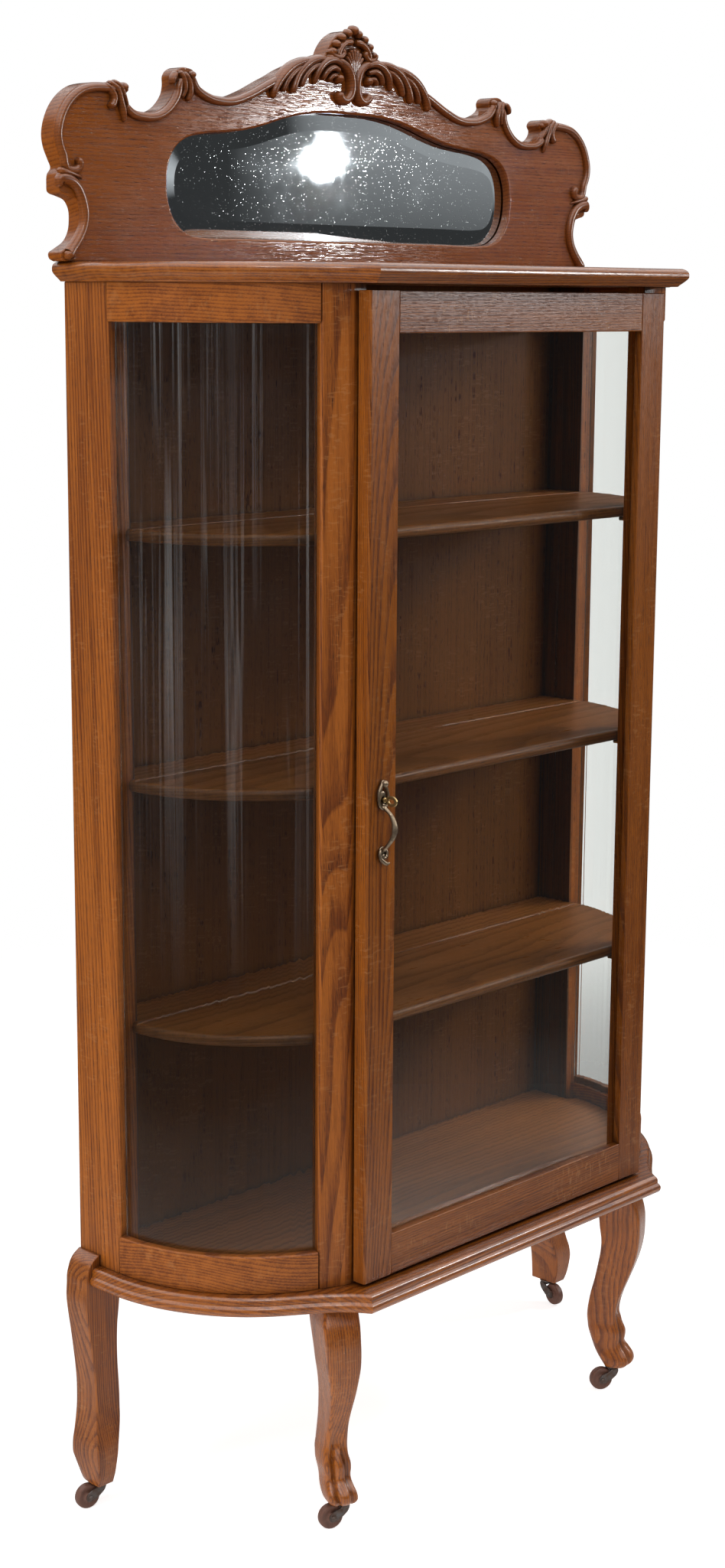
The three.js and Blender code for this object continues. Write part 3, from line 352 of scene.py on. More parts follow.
def tube(line, radii, sides):
    """A round bar along a line in space, with rounded ends."""
    line = np.asarray(line, float)
    d = along(line, 3)
    radii = np.broadcast_to(np.asarray(radii, float), (len(line),))
    end = np.clip(np.minimum(d, d[-1] - d) / radii, 0, 1)
    radii = radii * np.maximum(np.sqrt(1 - (1 - end) ** 2), 0.04)
    t = unit(np.gradient(line, axis=0))
    u = unit(np.cross(t, np.where(np.abs(t[:, :1]) > 0.9, [[0, 0, 1.0]], [[1.0, 0, 0]])))
    w = np.cross(t, u)
    a = np.linspace(0, 2 * np.pi, sides, endpoint=False)[None, :, None]
    r = radii[:, None, None]
    return loft(line[:, None] + r * (u[:, None] * np.cos(a) + w[:, None] * np.sin(a)))


def moved(part, matrix):
    """A part with its points turned and moved by a 4 by 4 matrix."""
    m = np.array(matrix, float)
    return part[0] @ m[:3, :3].T + m[:3, 3], part[1]


def shift(part, x, y, z):
    return part[0] + [x, y, z], part[1]


def lying(part):
    """Stands a part made along z on its side: z becomes -y, y becomes z."""
    return part[0][:, [0, 2, 1]] * [1, -1, 1], part[1]


def to_row(points):
    return (np.asarray(points, float) + [0, WALL / MM, 0]) * MM


def link(name, data):
    """Puts a new object in the scene."""
    obj = bpy.data.objects.new(name, data)
    bpy.context.scene.collection.objects.link(obj)
    return obj


def piece(name, parts, finish, body="cabinet", replaces=(), crease=32):
    """Makes one object of the cabinet from closed parts and ties it to its body."""
    verts, faces = [], []
    for points, polygons in parts:
        base = sum(len(v) for v in verts)
        verts.append(np.asarray(points, float))
        faces += [tuple(int(i) + base for i in f) for f in polygons]
    mesh = bpy.data.meshes.new(name)
    mesh.from_pydata(to_row(np.vstack(verts)).tolist(), [], faces)
    bm = bmesh.new()
    bm.from_mesh(mesh)
    bmesh.ops.remove_doubles(bm, verts=bm.verts, dist=WELD)
    bmesh.ops.recalc_face_normals(bm, faces=bm.faces)
    bm.to_mesh(mesh)
    bm.free()
    mesh.shade_smooth()
    mesh.set_sharp_from_angle(angle=math.radians(crease))
    mesh.materials.append(finish)
    obj = link(name, mesh)
    weigh(obj)
    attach(obj, body)
    if replaces:
        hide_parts(*replaces)
    return obj


def weigh(obj):
    """Lets the large faces rule the shading of rounded edges."""
    modifier = obj.modifiers.new("Even shading", "WEIGHTED_NORMAL")
    modifier.keep_sharp = True


def ease_edges(node, finish, width, segments=3, limit=34):
    """Keeps a CAD node, rounds its edges and gives it its finish."""
    obj = frame["nodes"][node]
    obj.data.materials.clear()
    obj.data.materials.append(finish)
    for polygon in obj.data.polygons:
        polygon.material_index = 0
    weld = obj.modifiers.new("Weld", "WELD")
    weld.merge_threshold = WELD
    flat = obj.modifiers.new("Whole faces", "DECIMATE")
    flat.decimate_type = "DISSOLVE"
    flat.angle_limit = math.radians(0.5)
    bevel = obj.modifiers.new("Eased edges", "BEVEL")
    bevel.width = width * MM
    bevel.segments = segments
    bevel.limit_method = "ANGLE"
    bevel.angle_limit = math.radians(limit)
    bevel.use_clamp_overlap = True
    weigh(obj)
    return obj


# ---- shader nodes ---------------------------------------------------------------------------


class Nodes:
    """Short ways to add nodes to one tree."""

    def __init__(self, tree):
        self.tree = tree

    def add(self, kind, inputs=None, **options):
        node = self.tree.nodes.new(kind)
        for key, value in options.items():
            setattr(node, key, value)
        self.fill(node, inputs or {})
        return node

    def fill(self, node, values):
        for key, value in values.items():
            self.feed(node.inputs[key], value)

    def feed(self, socket, value):
        if isinstance(value, bpy.types.NodeSocket):
            self.tree.links.new(value, socket)
        elif hasattr(value, "__len__") and socket.type == "RGBA" and len(value) == 3:
            socket.default_value = (*value, 1)
        else:
            socket.default_value = value

    def calc(self, operation, *values, clamp=False):
        node = self.add("ShaderNodeMath", operation=operation, use_clamp=clamp)
        for socket, value in zip(node.inputs, values):
            self.feed(socket, value)
        return node.outputs[0]

    def vector(self, operation, *values):
        node = self.add("ShaderNodeVectorMath", operation=operation)
        for socket, value in zip(node.inputs, values):
            self.feed(socket, value)
        return node.outputs["Value" if operation in ("LENGTH", "DOT_PRODUCT") else "Vector"]

    def mix(self, factor, a, b):
        node = self.add("ShaderNodeMix", data_type="RGBA")
        self.fill(node, {0: factor, 6: a, 7: b})
        return node.outputs[2]

    def noise(self, vector, detail=2.0, rough=0.5, bend=0.0):
        return self.add("ShaderNodeTexNoise", {
            "Vector": vector, "Scale": 1.0, "Detail": detail, "Roughness": rough,
            "Distortion": bend}).outputs["Fac"]

    def ramp(self, value, *stops):
        """Bends a value through (place, value) stops."""
        node = self.add("ShaderNodeValToRGB", {"Fac": value})
        marks = node.color_ramp.elements
        while len(marks) < len(stops):
            marks.new(0.5)
        for mark, (place, _) in zip(marks, stops):
            mark.position = place
        for mark, (_, v) in zip(marks, stops):
            mark.color = (v, v, v, 1)
        return node.outputs["Color"]

    def scaled(self, vector, *factors):
        return self.vector("MULTIPLY", vector, factors)

    def swing(self, value, middle, strength, base, clamp=False):
        """Adds to base how far a value is from its middle, times a strength."""
        off = self.calc("SUBTRACT", value, middle)
        return self.calc("MULTIPLY_ADD", off, strength, base, clamp=clamp)

    def bump(self, shader, height, strength, distance):
        """Feeds a height to a shader's normal."""
        node = self.add("ShaderNodeBump", {
            "Height": height, "Strength": strength, "Distance": distance})
        self.feed(shader.inputs["Normal"], node.outputs[0])


SOCKETS = {"c": "NodeSocketColor", "v": "NodeSocketVector", "f": "NodeSocketFloat"}


def node_group(name, inputs, outputs, build):
    """Builds a shader group once. inputs and outputs are rows of (name, kind, default)."""
    if name in bpy.data.node_groups:
        return bpy.data.node_groups[name]
    group = bpy.data.node_groups.new(name, "ShaderNodeTree")
    for label, kind, value in inputs:
        socket = group.interface.new_socket(label, in_out="INPUT", socket_type=SOCKETS[kind])
        if value is not None:
            socket.default_value = (*value, 1) if kind == "c" else value
    for label, kind in outputs:
        group.interface.new_socket(label, in_out="OUTPUT", socket_type=SOCKETS[kind])
    entry = group.nodes.new("NodeGroupInput")
    result = group.nodes.new("NodeGroupOutput")
    made = build(Nodes(group), entry.outputs)
    for label, socket in made.items():
        group.links.new(socket, result.inputs[label])
    return group


# ---- finishes -------------------------------------------------------------------------------


def oak_figure(n, given):
    """Ring-porous wood in the round: rings about the pith, pores, ray flecks and fibres along z."""
    p = given["Vector"]
    wander = n.vector("SUBTRACT", n.add(
        "ShaderNodeTexNoise", {"Vector": n.scaled(p, 6, 6, 1.1), "Scale": 1.0, "Detail": 2.0}
    ).outputs["Color"], (0.5, 0.5, 0.5))
    bent = n.vector("ADD", p, n.scaled(wander, 0.022, 0.022, 0.0))
    reach = n.vector("LENGTH", n.scaled(bent, 1, 1, 0))
    rings = n.calc("DIVIDE", reach, given["Ring width"])
    outwards = n.add("ShaderNodeCombineXYZ", {0: n.calc("MULTIPLY", reach, 55.0)}).outputs[0]
    uneven = n.noise(outwards, 1.0)
    rings = n.calc("MULTIPLY_ADD", uneven, 2.2, rings)
    part = n.calc("FRACT", rings)
    early = n.ramp(part, (0.0, 1.0), (0.16, 0.85), (0.52, 0.12), (0.93, 0.0), (1.0, 0.9))
    fibre = n.noise(n.scaled(bent, 820, 820, 11), 2.0, 0.6)
    streak = n.noise(n.scaled(p, 95, 95, 1.6), 2.0, 0.55)
    tone = n.noise(n.scaled(p, 9, 9, 1.5), 1.0)
    pores = n.ramp(n.noise(n.scaled(bent, 1900, 1900, 75), 1.0), (0.54, 0.0), (0.66, 1.0))
    pores = n.calc("MULTIPLY", pores, n.calc("MULTIPLY_ADD", early, 0.7, 0.3))
    pores = n.calc("MULTIPLY", pores, given["Pore strength"], clamp=True)
    patch = n.ramp(n.noise(n.scaled(p, 26, 26, 13), 1.0), (0.47, 0.0), (0.6, 1.0))
    fleck = n.ramp(n.noise(n.scaled(p, 85, 85, 330), 1.0, 0.5, 0.6), (0.57, 0.0), (0.66, 1.0))
    fleck = n.calc("MULTIPLY", n.calc("MULTIPLY", fleck, patch), given["Flecks"])
    shade = n.swing(fibre, 0.5, 1.5, n.calc("MULTIPLY", early, 0.66))
    shade = n.swing(streak, 0.45, 1.5, shade)
    shade = n.swing(tone, 0.5, 1.1, shade, clamp=True)
    color = n.mix(shade, given["Late wood"], given["Early wood"])
    color = n.mix(n.calc("MULTIPLY", pores, 0.8), color, given["Pores"])
    ray = n.mix(0.5, given["Late wood"], (0.72, 0.40, 0.17))
    color = n.mix(n.calc("MULTIPLY", fleck, 0.34), color, ray)
    height = n.calc("SUBTRACT", n.calc("MULTIPLY", fibre, 0.25), n.calc("MULTIPLY", pores, 0.75))
    open_grain = n.calc("MAXIMUM", pores, n.calc("MULTIPLY", early, 0.5))
    return {"Color": color, "Height": height, "Open grain": open_grain}


def edge_wear(n, given):
    """Where edges have been rubbed: the rounded normal leaves the true one."""
    normal = n.add("ShaderNodeNewGeometry").outputs["Normal"]
    rounded = n.add("ShaderNodeBevel", {"Radius": given["Width"]}, samples=4).outputs["Normal"]
    off = n.calc("SUBTRACT", 1.0, n.vector("DOT_PRODUCT", normal, rounded))
    rubbed = n.noise(n.scaled(given["Vector"], 70, 70, 22), 3.0, 0.6)
    sharp = n.ramp(off, (0.015, 0.0), (0.14, 1.0))
    mask = n.calc("MULTIPLY", sharp, n.ramp(rubbed, (0.38, 0.15), (0.62, 1.0)))
    return {"Mask": n.calc("MULTIPLY", mask, given["Amount"], clamp=True)}


def grime_and_painted_shade(n, given):
    """Dirt and dark polish in hollows and corners, and painted shade there: the colour darkens
    where ambient occlusion finds the surface shut in.
    """
    shut = n.calc("SUBTRACT", 1.0, n.add(
        "ShaderNodeAmbientOcclusion", {"Distance": given["Reach"]}, samples=4, only_local=False
    ).outputs["AO"])
    uneven = n.noise(n.scaled(given["Vector"], 60, 60, 60), 2.0)
    dirt_and_shade = n.calc("MULTIPLY", n.ramp(shut, (0.18, 0.0), (0.75, 1.0)), n.calc("ADD", uneven, 0.45))
    return {"Mask": n.calc("MULTIPLY", dirt_and_shade, given["Amount"], clamp=True)}


def old_varnish(n, given):
    """Fine sinking and brush marks of an old varnish, with rubbed and dusty patches."""
    v = given["Vector"]
    brush = n.noise(n.scaled(v, 240, 240, 30), 2.0)
    patch = n.noise(n.scaled(v, 14, 14, 9), 3.0, 0.6)
    gloss = n.swing(patch, 0.5, 0.16, given["Roughness"])
    gloss = n.swing(brush, 0.5, 0.08, gloss)
    gloss = n.calc("MULTIPLY_ADD", given["Open grain"], 0.12, gloss, clamp=True)
    height = n.calc("MULTIPLY_ADD", brush, 0.3, given["Height"])
    return {"Roughness": gloss, "Height": height}


def drawn_glass(n, given):
    """Slow waves and draw lines of old sheet glass, running up the pane."""
    v = given["Vector"]
    slow = n.noise(n.scaled(v, 7, 7, 1.0), 0.0)
    lines = n.noise(n.scaled(v, 75, 75, 0.7), 1.0)
    return {"Height": n.calc("MULTIPLY_ADD", lines, given["Draw lines"], slow)}


def tarnish(n, given):
    """Brown tarnish in soft patches with small dark spots."""
    v = given["Vector"]
    patch = n.noise(n.scaled(v, 160, 160, 160), 3.0, 0.6, 0.4)
    spots = n.ramp(n.noise(n.scaled(v, 900, 900, 900), 1.0), (0.60, 0.0), (0.70, 1.0))
    soft = n.ramp(patch, (0.34, 0.0), (0.66, 1.0))
    mask = n.calc("MAXIMUM", soft, n.calc("MULTIPLY", spots, 0.8))
    mask = n.calc("MULTIPLY", mask, given["Amount"], clamp=True)
    return {
        "Color": n.mix(mask, given["Bright"], given["Dull"]),
        "Roughness": n.calc("MULTIPLY_ADD", mask, 0.32, given["Roughness"], clamp=True),
        "Height": n.calc("SUBTRACT", n.calc("MULTIPLY", patch, 0.5), spots),
    }


VECTOR = ("Vector", "v", None)


def effects():
    """The shader groups that the finishes share."""
    return {
        "oak": node_group("Oak figure", [
            VECTOR, ("Late wood", "c", (0.36, 0.125, 0.032)),
            ("Early wood", "c", (0.19, 0.06, 0.016)),
            ("Pores", "c", (0.05, 0.015, 0.006)), ("Ring width", "f", 0.0034),
            ("Pore strength", "f", 1.0), ("Flecks", "f", 0.5),
        ], [("Color", "c"), ("Height", "f"), ("Open grain", "f")], oak_figure),
        "wear": node_group("Edge wear", [
            VECTOR, ("Width", "f", 0.0025), ("Amount", "f", 0.5)], [("Mask", "f")], edge_wear),
        "grime_and_shade": node_group("Grime and painted shade", [
            VECTOR, ("Reach", "f", 0.012), ("Amount", "f", 0.6)], [("Mask", "f")], grime_and_painted_shade),
        "varnish": node_group("Old varnish", [
            VECTOR, ("Roughness", "f", 0.4), ("Height", "f", 0.0), ("Open grain", "f", 0.0),
        ], [("Roughness", "f"), ("Height", "f")], old_varnish),
        "glass": node_group("Drawn glass", [
            VECTOR, ("Draw lines", "f", 0.3)], [("Height", "f")], drawn_glass),
        "tarnish": node_group("Tarnish", [
            VECTOR, ("Bright", "c", (0.6, 0.5, 0.3)), ("Dull", "c", (0.15, 0.1, 0.06)),
            ("Amount", "f", 0.7), ("Roughness", "f", 0.3),
        ], [("Color", "c"), ("Roughness", "f"), ("Height", "f")], tarnish),
    }


def new_finish(name):
    """An empty material: its tree, Principled shader and object coordinates."""
    material = bpy.data.materials.new(name)
    material.use_nodes = True
    tree = material.node_tree
    tree.nodes.clear()
    n = Nodes(tree)
    shader = n.add("ShaderNodeBsdfPrincipled")
    output = n.add("ShaderNodeOutputMaterial", {"Surface": shader.outputs[0]})
    place = n.add("ShaderNodeTexCoord").outputs["Object"]
    return material, n, shader, place, output


def use(n, effect, **values):
    """Places a shared group in a material."""
    node = n.add("ShaderNodeGroup", node_tree=effects()[effect])
    for key, value in values.items():
        n.feed(node.inputs[key.replace("_", " ")], value)
    return node.outputs


def once(build):
    """Makes a finish the first time that its name is asked for."""

    def finish(name, *values, **options):
        return bpy.data.materials.get(name) or build(name, *values, **options)

    return finish


# Turns in degrees that bring the grain of a piece onto z.
UPRIGHT = (0.0, 0.0, 0.0)
ACROSS = (0.0, 90.0, 0.0)
LEAN = (math.radians(1.6), math.radians(0.8), 0.0)  # the cut is never quite along the log
# Dark colour of grime and of painted shade in corners and hollows.
DIRT_AND_SHADE = (0.012, 0.006, 0.004)
UNLIT = (0.012, 0.006, 0.003)  # the inner side of a post


@once
def oak_finish(name, late, early, grain=UPRIGHT, pith=(0.09, 0.05), ring=1.0, flecks=1.0,
               gloss=0.40, wear=1.0, grime_and_shade=1.0, reach=14, bump=0.35, coat=0.12, tone=1.0,
               shine=0.45, even=1.0, inner=None):
    """Stained and varnished oak with its own cut from the log.

    reach is in mm. even is how much the open grain dulls the varnish. Faces nearer the middle
    of the case than inner, in mm, are dark.
    """
    look = settings().oak
    material, n, shader, place, _ = new_finish(name)
    turned = n.add("ShaderNodeMapping", {
        "Vector": place, "Rotation": tuple(math.radians(a) for a in grain)}).outputs[0]
    v = n.add("ShaderNodeMapping", {
        "Vector": turned, "Location": (*pith, 0.13 * len(name)), "Rotation": LEAN}).outputs[0]
    late, early = (tuple(c * tone for c in value) for value in (late, early))
    wood = use(n, "oak", Vector=v, Late_wood=late, Early_wood=early, Pores=tuple(look.pore),
               Ring_width=look.ring * ring, Pore_strength=1.0, Flecks=look.flecks * flecks)
    color = wood["Color"]
    if grime_and_shade:
        # Grime and painted shade: corners, creases and carving darken where ambient occlusion finds
        # them shut in.
        dirt_and_shade = use(n, "grime_and_shade", Vector=v, Reach=reach * MM, Amount=look.grime_and_shade * grime_and_shade)["Mask"]
        color = n.mix(dirt_and_shade, color, n.mix(0.75, early, DIRT_AND_SHADE))
    if wear:
        rubbed = use(n, "wear", Vector=v, Amount=look.wear * wear)["Mask"]
        worn = tuple(min(1, 1.35 * c + 0.008) for c in late)
        color = n.mix(n.calc("MULTIPLY", rubbed, 0.55), color, worn)
    open_grain = n.calc("MULTIPLY", wood["Open grain"], even)
    skin = use(n, "varnish", Vector=v, Roughness=gloss, Height=wood["Height"],
               Open_grain=open_grain)
    if inner:
        sideways = n.calc("ABSOLUTE", n.add("ShaderNodeSeparateXYZ", {0: place}).outputs[X])
        unlit = n.ramp(sideways, (inner * MM + 0.001, 0.8), (inner * MM + 0.003, 0.0))
        color = n.mix(unlit, color, UNLIT)
    n.bump(shader, skin["Height"], bump, 0.0006)
    n.fill(shader, {"Base Color": color, "Roughness": skin["Roughness"], "Coat Weight": coat,
                    "Coat Roughness": 0.22, "Specular IOR Level": shine})
    return material


def oak(kind):
    """The oak of one kind of piece."""
    look = settings().oak
    case = (tuple(look.late), tuple(look.early))
    red = (tuple(look.crest_late), tuple(look.crest_early))
    inner = (tuple(look.inner_late), tuple(look.inner_early))
    between = tuple(0.4 * a + 0.6 * b for a, b in zip(look.inner_early, look.inner_late))
    plain = (tuple(look.inner_late), between)
    kinds = {
        "top": dict(colours=case, grain=ACROSS, pith=(0.05, 0.02), gloss=0.24, tone=0.92,
                    coat=0.5),
        "base": dict(colours=case, grain=ACROSS, pith=(-0.12, 0.03), gloss=0.24, ring=1.2,
                     coat=0.8),
        "rear_post": dict(colours=case, pith=(0.16, 0.1), gloss=0.38, inner=HALF_W - 33),
        "side_stile": dict(colours=case, pith=(0.05, 0.2), gloss=0.38, tone=1.02,
                           inner=HALF_W - 33),
        "front_post": dict(colours=case, pith=(0.13, -0.12), gloss=0.3, flecks=1.5, ring=0.8),
        "rail_left": dict(colours=case, grain=(0, 90, 46), pith=(0.05, 0.04), ring=1.15,
                          gloss=0.42),
        "rail_right": dict(colours=case, grain=(0, 90, -46), pith=(0.05, -0.04), ring=1.15,
                           gloss=0.42),
        "door_stile": dict(colours=case, pith=(0.2, 0.06), gloss=0.26, flecks=1.3, ring=0.7,
                           tone=0.8),
        "door_rail": dict(colours=case, grain=ACROSS, pith=(0.09, 0.11), gloss=0.28, flecks=1.8,
                          tone=0.74),
        "crest": dict(colours=red, grain=ACROSS, pith=(0.02, 0.14), gloss=0.11, shine=0.38,
                      ring=1.3, bump=0.5, flecks=0.5, wear=0.7, grime_and_shade=0.8, reach=9, coat=0,
                      even=0.25),
        "carved": dict(colours=red, grain=ACROSS, pith=(0.1, 0.03), gloss=0.3, flecks=0.1,
                       bump=0.2, wear=1.2, grime_and_shade=1.6, reach=9, coat=0.35, tone=0.85),
        "shelf": dict(colours=inner, grain=ACROSS, pith=(0.03, 0.07), gloss=0.3, wear=0.8,
                      coat=0, tone=2.0, shine=0.3),
        "panel": dict(colours=plain, pith=(0.3, 0.22), gloss=0.5, ring=2.2, wear=0, flecks=0.8,
                      coat=0, shine=0.12),
        "floor": dict(colours=inner, grain=ACROSS, pith=(0.08, 0.12), gloss=0.35, wear=0,
                      tone=2.3),
        "backing": dict(colours=inner, grain=ACROSS, pith=(0.1, 0.3), gloss=0.6, coat=0,
                        tone=0.9),
        "front_leg": dict(colours=case, pith=(0.31, 0.12), gloss=0.26, ring=0.9, wear=1.2,
                          grime_and_shade=1.3, coat=0.5),
        "rear_leg": dict(colours=case, pith=(0.52, -0.1), gloss=0.34, tone=0.88, wear=1.2,
                         coat=0.4),
    }
    options = kinds[kind]
    colours = options.pop("colours")
    return oak_finish(f"Oak {kind.replace('_', ' ')}", *colours, **options)


@once
def glass_finish(name, waves, lines, lets_in):
    """Clear old glass; lets_in is the share of lamp light that passes it."""
    material, n, shader, place, output = new_finish(name)
    skin = use(n, "glass", Vector=place, Draw_lines=lines)
    n.bump(shader, skin["Height"], waves, 0.01)
    n.fill(shader, {"Base Color": tuple(settings().glass.tint), "Roughness": 0.0,
                    "Transmission Weight": 1.0, "IOR": 1.5})
    clear = n.add("ShaderNodeBsdfTransparent", {"Color": (lets_in, lets_in, lets_in, 1)})
    lamp = n.add("ShaderNodeLightPath").outputs["Is Shadow Ray"]
    both = n.add("ShaderNodeMixShader", {0: lamp, 1: shader.outputs[0], 2: clear.outputs[0]})
    n.feed(output.inputs["Surface"], both.outputs[0])
    return material


@once
def mirror_finish(name):
    """Silvered glass with a little haze and small specks where the silver has gone."""
    material, n, shader, place, _ = new_finish(name)
    specks = n.ramp(n.noise(n.scaled(place, 640, 640, 640), 1.0), (0.71, 0.0), (0.75, 1.0))
    cloud = n.noise(n.scaled(place, 13, 13, 13), 3.0)
    silver = tuple(settings().glass.silver)
    grey = n.mix(n.calc("MULTIPLY", specks, 0.4), silver, (0.95, 0.95, 0.93))
    grey = n.mix(n.calc("MULTIPLY", cloud, 0.12), grey, (0.42, 0.44, 0.44))
    film = n.calc("MULTIPLY", n.ramp(cloud, (0.45, 0.15), (0.8, 0.85)), 0.05)
    haze = n.calc("MULTIPLY_ADD", specks, 0.22, film)
    n.fill(shader, {"Base Color": grey, "Roughness": haze, "Metallic": 1.0})
    return material


@once
def metal_finish(name, bright, dull, amount, rough, bump=0.2, metallic=1.0):
    """Cast or turned metal with tarnish."""
    material, n, shader, place, _ = new_finish(name)
    skin = use(n, "tarnish", Vector=place, Bright=tuple(bright), Dull=tuple(dull), Amount=amount,
               Roughness=rough)
    # Tarnish and painted shade in the hollows: the colour darkens where ambient occlusion finds the
    # surface shut in.
    dirt_and_shade = use(n, "grime_and_shade", Vector=place, Reach=4 * MM, Amount=0.8)["Mask"]
    color = n.mix(dirt_and_shade, skin["Color"], tuple(0.35 * c for c in dull))
    n.bump(shader, skin["Height"], bump, 0.0003)
    n.fill(shader, {"Base Color": color, "Roughness": skin["Roughness"], "Metallic": metallic})
    return material


def metal(kind):
    """The metal of one kind of fitting."""
    m = settings().metal
    return metal_finish(*{
        "pull": ("Cast pull", m.pull, m.pull_dark, 0.75, 0.3, 0.3),
        "brass": ("Old brass", m.brass, m.brass_dark, 0.6, 0.28),
        "iron": ("Caster iron", m.iron, m.rust, 0.8, 0.42, 0.5, 0.8),
    }[kind])


@once
def wheel_finish(name):
    """Dark turned wood, paler where the tread is worn."""
    m = settings().metal
    material, n, shader, place, _ = new_finish(name)
    grain = n.noise(n.scaled(place, 500, 500, 90), 3.0, 0.6)
    patch = n.noise(n.scaled(place, 120, 120, 120), 2.0)
    rubbed = use(n, "wear", Vector=place, Width=2 * MM, Amount=0.8)["Mask"]
    dark = tuple(0.55 * c for c in m.wheel)
    base = n.mix(n.ramp(grain, (0.35, 0.0), (0.7, 1.0)), tuple(m.wheel), dark)
    base = n.mix(n.calc("MULTIPLY", patch, 0.5), base, tuple(m.wheel_worn))
    n.bump(shader, grain, 0.4, 0.0004)
    n.fill(shader, {"Base Color": n.mix(rubbed, base, tuple(m.wheel_worn)),
                    "Roughness": n.ramp(patch, (0.3, 0.38), (0.7, 0.6))})
    return material


# ---- plan of the case -----------------------------------------------------------------------

NOSE = 17.0  # how far the boards' noses stand out
CORNER_IN = 4.2  # the boards' corner, inwards from the front post's


def bow(angle_deg, radius, side):
    """A point of the bow; angle 0 is where it leaves the side stile."""
    a = np.radians(angle_deg)
    r = settings().case.bow_radius / MM
    return np.stack([side * (HALF_W - r + radius * np.cos(a)), -SIDE_FLAT - radius * np.sin(a)], -1)


def front_corner():
    """The front post's outer corner, which the boards and legs follow."""
    case = settings().case
    turn = case.bow_turn
    end = bow(math.degrees(turn), case.bow_radius / MM, 1)
    face = (FRONT_Y + end[1]) / math.cos(turn)
    return end[0] - face * math.sin(turn), math.pi / 2 - turn


def half_plan():
    """Left half of the boards' outline without the nose, from the rear leg to the front corner."""
    radius = settings().case.bow_radius / MM
    stop, lead = 55, 28
    corner = np.array([CORNER_IN - front_corner()[0], edge_of("base_board", LOW, Y) + NOSE])
    swing = bow(np.linspace(2, stop, 28), radius, -1)
    start = swing[-1]
    a, b = math.radians(stop), math.radians(60)
    hold = start + lead * np.array([math.sin(a), -math.cos(a)])
    meet = corner + lead * np.array([-math.cos(b), math.sin(b)])
    t = np.linspace(0, 1, 19)[1:, None]
    u = 1 - t
    curve = u**3 * start + 3 * u**2 * t * hold + 3 * u * t**2 * meet + t**3 * corner
    return np.vstack([[[-HALF_W, -POST_DEPTH - GAP], [-HALF_W, -SIDE_FLAT]], swing, curve])


def offset_half(points, distance):
    """The half outline moved outwards by a distance, with its corners mitred."""
    before = unit(np.diff(points, axis=0, prepend=2 * points[:1] - points[1:2]))
    after = unit(np.diff(points, axis=0, append=points[-1:] + [[1, 0]]))
    n0, n1 = (np.stack([v[:, 1], -v[:, 0]], 1) for v in (before, after))
    mid = unit(n0 + n1)
    return points + distance * mid / np.maximum(0.5, (mid * n0).sum(1, keepdims=True))


def both_halves(left):
    return np.vstack([left, left[::-1] * [-1, 1]])


def moulded_board(profile, z0, back):
    """A board whose nose follows the plan; profile rows are [offset, height]."""
    half = half_plan()
    rings = []
    for offset, height in even(spline(profile, 5), 1.3):
        offset = min(offset, NOSE)  # the curve through two equal rows would swell past them
        left = np.vstack([back(offset), offset_half(half, offset)])
        rings.append(at_height(both_halves(left), z0 + height))
    return loft(rings)


TOP_NOSE = [[5, 0], [6.5, 1.5], [11, 5], [15, 8.5], [17, 11.5], [17, 14.5], [16, 17.5],
            [13.5, 20], [9.5, 21.5]]
BASE_NOSE = [[8, 0], [13, 1.5], [16, 4.5], [17, 8.5], [16, 12], [13.5, 14.4], [13.2, 15.2],
             [13.3, 17], [12.9, 20], [11.3, 22.6], [8.5, 24]]


def swept(section, side, start, stop, steps):
    """A closed section of [radius, z] carried along one bowed side."""
    section = np.asarray(section, float)
    rings = []
    for a in np.linspace(start, stop, steps + 1):
        p = bow(a, section[:, 0], side)
        rings.append(np.column_stack([p, section[:, 1]]))
    return loft(rings)


def rail_section(z, height, up):
    """Bowed rail with a rounded arris at the glass and a rebate behind."""
    case = settings().case
    outer = case.bow_radius / MM
    inner, glass = outer - case.rail / MM, outer - case.glass_in / MM
    soft, rebate = 3.2, 8.0
    rounded = arc(soft, 0, 90, 6, (outer - soft, height - soft))
    inside = arc(1.2, 90, 170, 3, (glass + 1.2, height - 1.2))
    low = arc(0.9, -90, 0, 3, (outer - 0.9, 0.9))
    foot = [[glass, height - rebate], [inner, height - rebate]]
    rows = np.vstack([[[inner, 0]], low, rounded, inside, foot])
    rows[:, 1] = z + up * rows[:, 1]
    return rows


# ---- crest tables ---------------------------------------------------------------------------

# Right half of the crest's outline: x, and z above the top board.
CREST_EDGE = [[452, 0], [458, 3], [459, 9], [451, 14], [438, 22], [431, 33], [429, 45], [430, 57],
              [436, 66], [447, 70], [459, 74], [460, 82], [459, 93], [454, 100], [458, 109],
              [464, 122], [466, 135], [463, 150], [455, 166], [443, 179], [428, 188], [411, 192],
              [395, 193], [381, 193], [371, 195], [363, 193], [359, 187], [363, 181], [361, 175],
              [355, 169], [347, 166], [337, 165], [326, 165], [316, 167], [306, 172], [297, 180],
              [291, 189], [289, 198], [289, 207], [285, 213], [277, 217], [268, 217], [260, 215],
              [256, 209], [257, 203], [250, 197], [241, 193], [230, 190], [218, 189], [206, 189],
              [194, 191], [182, 195], [169, 200], [156, 206], [143, 212], [129, 218], [115, 225],
              [100, 231], [84, 237], [67, 242], [54, 244], [46, 247], [40, 257], [30, 268],
              [16, 276], [0, 279]]

# Right half of the mirror opening, from the bottom middle to the top middle.
OPENING_EDGE = [[0, 30], [90, 30], [180, 30], [246, 30], [270, 34], [288, 47], [298, 66],
                [301, 88], [298, 110], [288, 128], [270, 140], [244, 146], [214, 149], [180, 153],
                [148, 160], [116, 169], [84, 176], [48, 180], [0, 181]]

